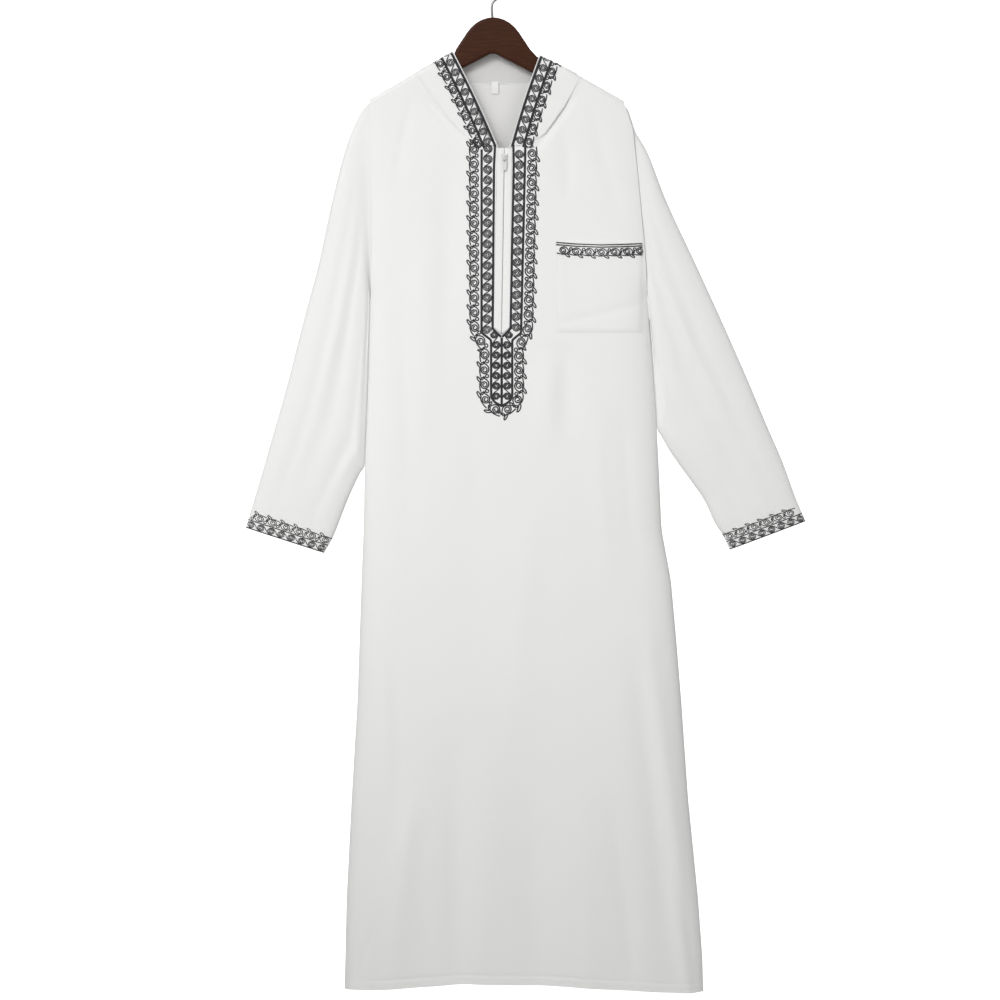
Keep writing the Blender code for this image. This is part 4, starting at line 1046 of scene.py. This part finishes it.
# Where the first scroll is, how far apart they are and how many there are.
SCROLL_ROW = {-1: (6.3, 16.04, 18), 1: (14.9, 16.3, 17)}
TONGUE_ROW = (5, 15.4, 7)
SCROLL_RADIUS, TONGUE_SCROLL_RADIUS, SCROLL_TURNS = 6.6, 5.8, 1.3
STRIPE_START, DISC_START = {-1: 4, 1: 1}, {-1: 8, 1: 14}
SCALLOP_PITCH, DISC_THREAD = 22.2, 0.98
STRIPE_HALF, POINT_HALF, CENTRE_HALF = 0.88, 0.9, 0.95
INNER_POINT = 16  # length of the inner stripe's slanting end


def beside_zip(points, side):
    placed = []
    top, low = PLACKET_LEAN[side]
    for away, z in points:
        down = min(max((PLACKET_TOP_Z - z) / (PLACKET_TOP_Z - SHOULDER_Z), 0), 1)
        lean = (top + (low - top) * down) * min(away / STRIPE_OUTER, 1.2) if z > LEAN_FROM_Z else 0
        placed.append((float(zip_line(z)[0]) + side * (away + lean), z))
    return placed


def front_height(x, z):
    return depth(x, z, FRONT)


on_front = surface_lift(front_height)


def placket(side):
    threads = Threads("placket_embroidery_" + SIDE_NAMES[side])
    lines = {
        name: Band(beside_zip(points, side), -side, on_front, soften)
        for name, (soften, *points) in PLACKET_LINES.items()
    }
    start, inner, outer, discs = STRIPE_START[side], lines["inner"], lines["outer"], lines["discs"]
    stripe(threads, inner, start, inner.length - INNER_POINT, 0, STRIPE_HALF, apart=1.0)
    stripe(threads, inner, inner.length - INNER_POINT - 1, inner.length, 0, POINT_HALF)
    first, pitch, count = SCROLL_ROW[side]
    centres = first + pitch * np.arange(count)
    running_scrolls(threads, lines["scrolls"], centres, 0, SCROLL_RADIUS, turns=SCROLL_TURNS)
    stripe(threads, outer, 2 * start, outer.length + 0.5, 0, STRIPE_HALF, apart=1.0)
    first, pitch, count = TONGUE_ROW
    centres = first + pitch * np.arange(count)
    running_scrolls(threads, lines["tongue"], centres, 0, TONGUE_SCROLL_RADIUS, turns=SCROLL_TURNS)
    centres = spread(DISC_START[side], discs.length - 2, SCALLOP_PITCH)
    scallops(threads, discs, centres, 0, -side, thick=DISC_THREAD)
    return threads.build(THREAD)


front_threads = [placket(side) for side in SIDE_NAMES]
centre_line = Threads("placket_centre_line")
middle_band = Band(beside_zip([(0.0, ZIP_END_Z - 4.5), (0.0, TONGUE_TIP_Z)], 1), 1, on_front)
stripe(centre_line, middle_band, 0, middle_band.length, 0, CENTRE_HALF)
front_threads.append(centre_line.build(THREAD))


# --- Pocket, set on the front panel

POCKET_FROM_X, POCKET_TO_X = 94, 224
POCKET_TOP_Z, POCKET_END_Z = -405, -541
POCKET_WALL, POCKET_EDGE = 1.2, 0.3  # thickness, and what is left of it at the sewn edges
POCKET_ROLL = 7  # the thickness comes in over this
POCKET_CELLS = 60
# The crease near its foot: height at the inner side, slope, depth, half width and fade.
POCKET_CREASE = (12, 0.24, 0.8, 7, 10)
POCKET_WAVES = (0.3, 17, 31, 14)  # height, lengths in x and z, and fade
POCKET_SCALLOP_SHAPE = (0.82, 0.88, 0.78)  # as HOOD_SCALLOP_SHAPE
# How far the embroidered opening sags, by x.
POCKET_SAG = ((94, 0), (125, -2.6), (160, -4), (195, -3.2), (224, -1.6))
POCKET_BAND_Z = POCKET_TOP_Z - 2.6
POCKET_STRIPES, POCKET_STRIPE_HALF = (-1.7, 1.7), 0.85
POCKET_DISCS, POCKET_DISCS_T = (11.8, 125.6, 18.97), 9.4


def pocket_shape():
    x = np.linspace(POCKET_FROM_X, POCKET_TO_X, POCKET_CELLS)[None, :]
    z = np.linspace(POCKET_TOP_Z, POCKET_END_Z, POCKET_CELLS)[:, None]
    x, z = paired(x, z)
    near_edge = np.minimum.reduce([x - POCKET_FROM_X, POCKET_TO_X - x, z - POCKET_END_Z])
    height, long_x, long_z, fade = POCKET_WAVES
    waves = height * np.sin(x / long_x + z / long_z) * smooth(near_edge / fade)
    rise, slope, deep, wide, fade = POCKET_CREASE
    crease_z = POCKET_END_Z + rise + slope * (x - POCKET_FROM_X)
    crease = deep * bell(z - crease_z, wide) * smooth(near_edge / fade)
    inner, normals = surface_lift(front_height, 0.05)(x, z)
    thick = POCKET_EDGE + smooth(near_edge / POCKET_ROLL) + waves - crease
    return inner + normals * thick[..., None], inner


pocket = cloth("chest_pocket", *pocket_shape())
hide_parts("pocket")


def on_pocket(x, z):
    point, normal = surface_lift(front_height, POCKET_WALL + 0.5)(x, z)
    point[(x < POCKET_FROM_X) | (x > POCKET_TO_X)] = np.nan
    return point, normal


pocket_band = Band([(x, POCKET_BAND_Z + sag) for x, sag in POCKET_SAG], 1, on_pocket, 6)
pocket_threads = Threads("pocket_embroidery")
for t in POCKET_STRIPES:
    stripe(pocket_threads, pocket_band, 0.5, pocket_band.length - 0.5, t, POCKET_STRIPE_HALF, 1)
pocket_discs = spread(*POCKET_DISCS)
scallops(pocket_threads, pocket_band, pocket_discs, POCKET_DISCS_T, -1, *POCKET_SCALLOP_SHAPE)
pocket_thread = pocket_threads.build(THREAD)


# --- Hood bands

PIPING, PIPING_HEIGHT = 1.7, 1.2
HOOD_STRIPE, HOOD_SCROLLS, HOOD_SECOND, HOOD_SCALLOPS = 3.7, 11.8, 19.9, 26.2
HOOD_STRIPE_HALF, HOOD_SCROLL_RADIUS = 1, 6
HOOD_PITCH, HOOD_SCALLOP_PITCH = 16.5, 22.7
HOOD_SCALLOP_SHAPE = (0.82, 0.93, 0.92)  # how wide and long a motif is, and its thread
HOOD_EDGE_SHARES = np.linspace(-0.14, 1.0, 30)  # from behind the ridge to the lower end
BEFORE_RIDGE = -20  # where the motifs would start, if the cloth were there
CLOTH_MARGIN = 0.3  # between a line's end and the cloth's edge
HOOD_LAST_SCROLL, HOOD_LAST_SCALLOP = 9.5, 11  # before the front edge's lower end
BEHIND_FIRST_SCROLL, BEHIND_FIRST_SCALLOP = 7, 12  # behind the ridge
BEHIND_LAST = 13  # before the hood's lowest point


def hood_front_lift(x, z):
    """Puts points on the hood's front. Beyond the shoulder's ridge and its lower end are none."""
    point, normal = surface_lift(front_cover, 0.3)(x, z)
    point[(z > ridge_z(x) - 0.7) | (z < HOOD_EDGE_END_Z - 6)] = np.nan
    return point, normal


class GridBand:
    """A band laid along the first column of a grid: s from one row to another, t along the rows."""

    def __init__(self, grid, normals, row_from, row_to):
        self.layers = np.stack([grid, normals])[:, row_from:row_to:-1]
        rows = self.layers[0]
        self.along = running_length(rows[:, 0])
        self.across = np.stack([running_length(row) for row in rows])
        self.length = self.along[-1]

    def on_row(self, row, far):
        """Point and normal a distance along a row."""
        last = self.across.shape[1] - 1
        column = np.interp(far, self.across[row], np.arange(last + 1))
        low = min(int(column), last - 1)
        share = column - low
        return self.layers[:, row, low] * (1 - share) + self.layers[:, row, low + 1] * share

    def place(self, s, t):
        s, t = paired(s, t)
        row = np.interp(s, self.along, np.arange(len(self.along)))
        low = np.minimum(row.astype(int), len(self.along) - 2)
        points, normals = np.stack([
            self.on_row(at, far) * (1 - part) + self.on_row(at + 1, far) * part
            for at, part, far in zip(low, row - low, t)
        ], 1)
        points[(s < 0) | (s > self.length)] = np.nan
        return points + normals * CLEAR, normals


def on_cloth(band, t):
    """The first and last s at which a band's line is on the cloth."""
    s = np.arange(-30.0, band.length + 30, 0.5)
    shown = s[np.isfinite(band.place(s, t)[0]).all(axis=1)]
    return shown[0] + CLOTH_MARGIN, shown[-1] - CLOTH_MARGIN


def hood_rows(threads, band, scrolls, discs, side, flip):
    running_scrolls(threads, band, scrolls, HOOD_SCROLLS, HOOD_SCROLL_RADIUS, flip)
    scallops(threads, band, discs, HOOD_SCALLOPS, side, *HOOD_SCALLOP_SHAPE)


def hood_embroidery(side):
    _, grid, normals = hoods[side]
    threads = Threads("hood_embroidery_" + SIDE_NAMES[side])
    edge = [hood_front_edge(share, side) for share in HOOD_EDGE_SHARES]
    band = Band(edge, -side, hood_front_lift, 3)
    end = band.length
    for t, past_end in ((HOOD_STRIPE, 3), (HOOD_SECOND, -1)):
        first, last = on_cloth(band, t + 1.5)
        stripe(threads, band, first, min(last, end + past_end), t, HOOD_STRIPE_HALF)
    piping = Threads("hood_piping_" + SIDE_NAMES[side])
    placed = band.place(np.linspace(*on_cloth(band, PIPING / 2), 90), PIPING / 2)
    piping.line(placed, PIPING / 2, PIPING_HEIGHT)
    scrolls = np.arange(end - HOOD_LAST_SCROLL, BEFORE_RIDGE, -HOOD_PITCH)[::-1]
    discs = np.arange(end - HOOD_LAST_SCALLOP, BEFORE_RIDGE, -HOOD_SCALLOP_PITCH)[::-1]
    hood_rows(threads, band, scrolls, discs, -side, 1)
    ridge_row = (len(HOOD_BACK) + len(HOOD_RIDGE_DROPS)) * HOOD_FINE
    behind = GridBand(grid, normals, ridge_row, (HOOD_SEAM_ROWS - 1) * HOOD_FINE - 1)
    for t in (HOOD_STRIPE, HOOD_SECOND):
        stripe(threads, behind, CLOTH_MARGIN, behind.length - t * 0.9, t, HOOD_STRIPE_HALF)
    last = behind.length - BEHIND_LAST
    scrolls = np.arange(BEHIND_FIRST_SCROLL, last, HOOD_PITCH)
    discs = np.arange(BEHIND_FIRST_SCALLOP, last - BEHIND_FIRST_SCALLOP, HOOD_SCALLOP_PITCH)
    hood_rows(threads, behind, scrolls, discs, side, -1)
    return [threads.build(THREAD), piping.build(WHITE)]


hood_trims = {side: hood_embroidery(side) for side in SIDE_NAMES}


# --- Cuff bands

class CuffBand:
    """A band round the end of a sleeve: s from its outer corner to its inner one, t up the arm."""

    def __init__(self, side, facing):
        self.side, self.facing = side, facing
        table = SLEEVES[side][0]
        self.rows = np.linspace(len(table) - 1, len(table) - 4, 31)
        section = catmull_table(table, self.rows)
        self.reach = [running_length(section[:, first:first + 2]) for first in (0, 2)]
        self.length = np.linalg.norm(section[0, :2] - section[0, 2:4])

    def surface(self, s, t):
        share = np.clip(s / self.length, 0, 1)
        outer, inner = (np.interp(t, reach, self.rows) for reach in self.reach)
        row = outer + (inner - outer) * share
        return sleeve_point(self.side, row, 1 - 2 * share, self.facing)

    def place(self, s, t):
        s, t = paired(s, t)
        point = self.surface(s, t)
        ahead = self.surface(s + 0.5, t) - self.surface(s - 0.5, t)
        up = self.surface(s, t + 0.5) - self.surface(s, np.maximum(t - 0.5, 0))
        normal = unit(np.cross(ahead, up))
        normal[normal[:, 1] * self.facing < 0] *= -1
        point[(s < 0) | (s > self.length)] = np.nan
        return point + normal * CLEAR, normal


CUFF_EDGE, CUFF_SCROLLS, CUFF_STRIPE, CUFF_SCALLOPS = 1.6, 7.4, 13.6, 20.2
CUFF_THREAD, CUFF_STRIPE_HALF, CUFF_MARGIN = 0.62, 0.75, 0.8
CUFF_SCALLOP_SHAPE = (0.75, 0.88, CUFF_THREAD)
CUFF_SCROLL_RADIUS, CUFF_STRETCH = 4.7, 1.3
# Where the first one is, how far the last one is from the end, and the pitch.
CUFF_SCROLL_ROW, CUFF_SCALLOP_ROW = (6.6, 7, 15.3), (17.3, 8, 20)


def cuff_embroidery(side):
    threads = Threads("cuff_embroidery_" + SIDE_NAMES[side])
    for facing in (FRONT, BACK):
        band = CuffBand(side, facing)
        for t in (CUFF_EDGE, CUFF_STRIPE):
            stripe(threads, band, CUFF_MARGIN, band.length - CUFF_MARGIN, t, CUFF_STRIPE_HALF, 1)
        scrolls, discs = (
            spread(first, band.length - last, pitch)
            for first, last, pitch in (CUFF_SCROLL_ROW, CUFF_SCALLOP_ROW)
        )
        running_scrolls(threads, band, scrolls, CUFF_SCROLLS, CUFF_SCROLL_RADIUS, side,
                        CUFF_THREAD, stretch=CUFF_STRETCH)
        scallops(threads, band, discs, CUFF_SCALLOPS, -side, *CUFF_SCALLOP_SHAPE)
    return threads.build(THREAD)


cuffs = {side: cuff_embroidery(side) for side in SIDE_NAMES}


# --- Zip lips, neck tab and seams

LIP_NEAR, LIP_FAR, LIP_WALL = 0.22, 0.25, 1  # gaps at the slit and the panel, and thickness
LIP_BELOW_TOP, LIP_ABOVE_END = 3.5, 1
LABEL_BOW, LABEL_CURL = 0.8, 0.3
CORD_SUNK = 0.55  # share of the wall's thickness
SLIT_ROUND, RIM_ROUND = 2.2, 1.6
LIP_RAISED, RIM_SUNK = 0.15, 0.8
LABEL_X, LABEL_WIDTH, LABEL_TOP_Z, LABEL_HEIGHT = 3, 10.5, -160, 18.5
LABEL_LEVEL_Z, LABEL_GAP, LABEL_WALL = -167, 0.9, 0.6
STITCH, STITCH_GAP, STITCH_HALVES = 3.2, 1.5, (0.28, 0.22)
SEAM_UP, STITCHES_UP = 0.75, 4  # above a neck's edge


def zip_lip(side):
    """One folded lip of the zip, rounded along the slit."""
    end_z = ZIP_END_Z + LIP_ABOVE_END
    z = np.linspace(ZIP_TOP_Z + LIP_BELOW_TOP, end_z, 150)[:, None]
    share = np.linspace(0, 1, 14)[None, :] ** 1.3
    middle, half = zip_line(z)
    away = LIP_NEAR + (half - LIP_FAR - LIP_NEAR) * share
    z = np.maximum(z, end_z + (ZIP_SHOULDER_Z - ZIP_END_Z) * away / half)
    x = middle + side * away
    slit, rim = quarter_round(away - LIP_NEAR, SLIT_ROUND), quarter_round(half - away, RIM_ROUND)
    sunk = SLIT_ROUND * (1 - slit) + RIM_SUNK * (1 - rim) - LIP_RAISED
    outer = np.stack([x, sunk - depth(x, z, FRONT), z], -1)
    return cloth("zip_lip_" + SIDE_NAMES[side], outer, outer + (0, LIP_WALL, 0))


zip_lips = {side: zip_lip(side) for side in SIDE_NAMES}
for side, lip in zip_lips.items():
    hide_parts("zip_tape_" + SIDE_NAMES[side])


def neck_label():
    """A blank folded tab sewn into the back neck seam."""
    x = np.linspace(LABEL_X - LABEL_WIDTH / 2, LABEL_X + LABEL_WIDTH / 2, 9)[None, :]
    z = np.linspace(LABEL_TOP_Z, LABEL_TOP_Z - LABEL_HEIGHT, 13)[:, None]
    x, z = paired(x, z)
    bow = LABEL_BOW * np.sin(np.pi * (LABEL_TOP_Z - z) / LABEL_HEIGHT)
    bow = bow + LABEL_CURL * ((x - LABEL_X) / LABEL_WIDTH) ** 2
    y = depth(x, np.minimum(z, LABEL_LEVEL_Z), BACK) - WALL - LABEL_GAP - bow
    inner = np.stack([x, y, z], -1)
    return cloth("neck_tab", inner - (0, LABEL_WALL, 0), inner)


neck_tab = neck_label()
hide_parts("neck_label")


def seam_cord(name, curve, lift, half_width=1.1, half_height=0.7):
    """The rounded edge of a sewn seam, along flat points (x, z)."""
    cord = Threads(name)
    cord.line(lift(*curve.T), half_width, half_height)
    return cord.build(WHITE)


def seam_curve(table, x_from, x_to, up):
    x = np.linspace(x_from, x_to, 160)
    return np.stack([x, above_edge(table, x, up, 3)], -1)


def front_stitches(name, points, off=0.05):
    """A row of white running stitches on the front, along points (x, z)."""
    band = Band(points, 1, surface_lift(front_height, off), 3)
    made = Threads(name)
    for start in np.arange(1.0, band.length - STITCH, STITCH + STITCH_GAP):
        made.line(band.place(np.linspace(start, start + STITCH, 3), 0), *STITCH_HALVES)
    return made.build(WHITE_THREAD)


hem_line = [(x, float(hem_z(x)) + HEM_TURN) for x in np.linspace(-214.0, 306.0, 30)]
hem_stitches = front_stitches("hem_stitches", hem_line)
neck_stitches = [
    front_stitches("neck_stitches_" + name, seam_curve(FRONT_NECK, *reach, STITCHES_UP)[::12])
    for name, reach in (("right", (-110.0, -12.0)), ("left", (44.0, 128.0)))
]
pocket_sides = POCKET_FROM_X + 2, POCKET_TO_X - 2
pocket_ends = POCKET_TOP_Z - 16, POCKET_END_Z + 2
pocket_edge = [(pocket_sides[a], pocket_ends[b]) for a, b in ((0, 0), (0, 1), (1, 1), (1, 0))]
pocket_stitches = front_stitches("pocket_stitches", pocket_edge, POCKET_WALL - 0.4)

# How deep each side's neck seam lies, and where it starts and ends.
NECK_SEAMS = {-1: (-1.5, -117, -9), 1: (-1.2, 41, 133.8)}
for side, (sunk, x_from, x_to) in NECK_SEAMS.items():
    front_seam = seam_curve(FRONT_NECK, x_from, x_to, SEAM_UP)
    name = "neck_seam_" + SIDE_NAMES[side]
    seam_cord(name, front_seam, surface_lift(front_cover, sunk))


def back_lift(x, z):
    point = np.stack([x, back_cover(x, z, 1.0) - WALL * CORD_SUNK, z], -1)
    return point, np.zeros_like(point) + (0, -1, 0)


back_seam = seam_curve(BACK_NECK, -100.0, 116.0, SEAM_UP)
back_neck_seam = seam_cord("neck_seam_back", back_seam, back_lift)


# --- Stage, lights and camera, in metres

CAMERA_AT = (0.0105, -3.557, -0.792)
FLOOR_Z = -1.78
# Each lamp's place, aim, size, power and beam in degrees.
LAMPS = {
    "key": ((-1.05, -2.4, 1.15), (0.05, 0, -0.5), 1.3, 18.3, 110),
    "fill": ((2.4, -2.6, -0.1), (0, 0, -0.7), 2, 13, 180),
    "side": ((-1.6, -2.4, -0.5), (-0.05, 0, -0.78), 0.8, 0.95, 42),
}


def stage_sheet(name, corners, material):
    """A flat sheet of the stage, given by two opposite corners."""
    (x0, y0, z0), (x1, y1, z1) = corners
    points = np.array([(x0, y0, z0), (x1, y0, z0), (x1, y1, z1), (x0, y1, z1)])
    mesh_object(name, points, [(0, 1, 2, 3)], material)


white = (1.0, 1.0, 1.0, 1.0)
wall = new_material("white wall", white[:3], 1.0, Emission_Color=white, Emission_Strength=1.0)
stage_sheet("backdrop", ((-5, 7, -5), (5, 7, 4)), wall)
pale_floor = new_material("pale floor", (0.68, 0.68, 0.67), 0.9)
stage_sheet("floor", ((-4, -6, FLOOR_Z), (4, 0.9, FLOOR_Z)), pale_floor)

for name, (where, aim, size, power, beam) in LAMPS.items():
    data = bpy.data.lights.new(name, "AREA")
    data.shape = "RECTANGLE"
    data.size = data.size_y = size
    data.energy = power
    data.spread = math.radians(beam)
    lamp = new_object(name, data)
    lamp.location = where
    lamp.rotation_euler = (Vector(aim) - Vector(where)).to_track_quat("-Z", "Y").to_euler()
    lamp.visible_camera = False

world = bpy.data.worlds.new("soft sky")
world.use_nodes = True
set_values(world.node_tree.nodes["Background"], Color=white, Strength=0.405)
bpy.context.scene.world = world
bpy.context.scene.view_settings.view_transform = "Standard"

camera_data = bpy.data.cameras.new("camera")
camera_data.lens = 85
camera_data.sensor_width = 36
camera_data.clip_end = 30
camera = new_object("camera", camera_data)
camera.location = CAMERA_AT
camera.rotation_euler = (math.pi / 2, 0, 0)
bpy.context.scene.camera = camera
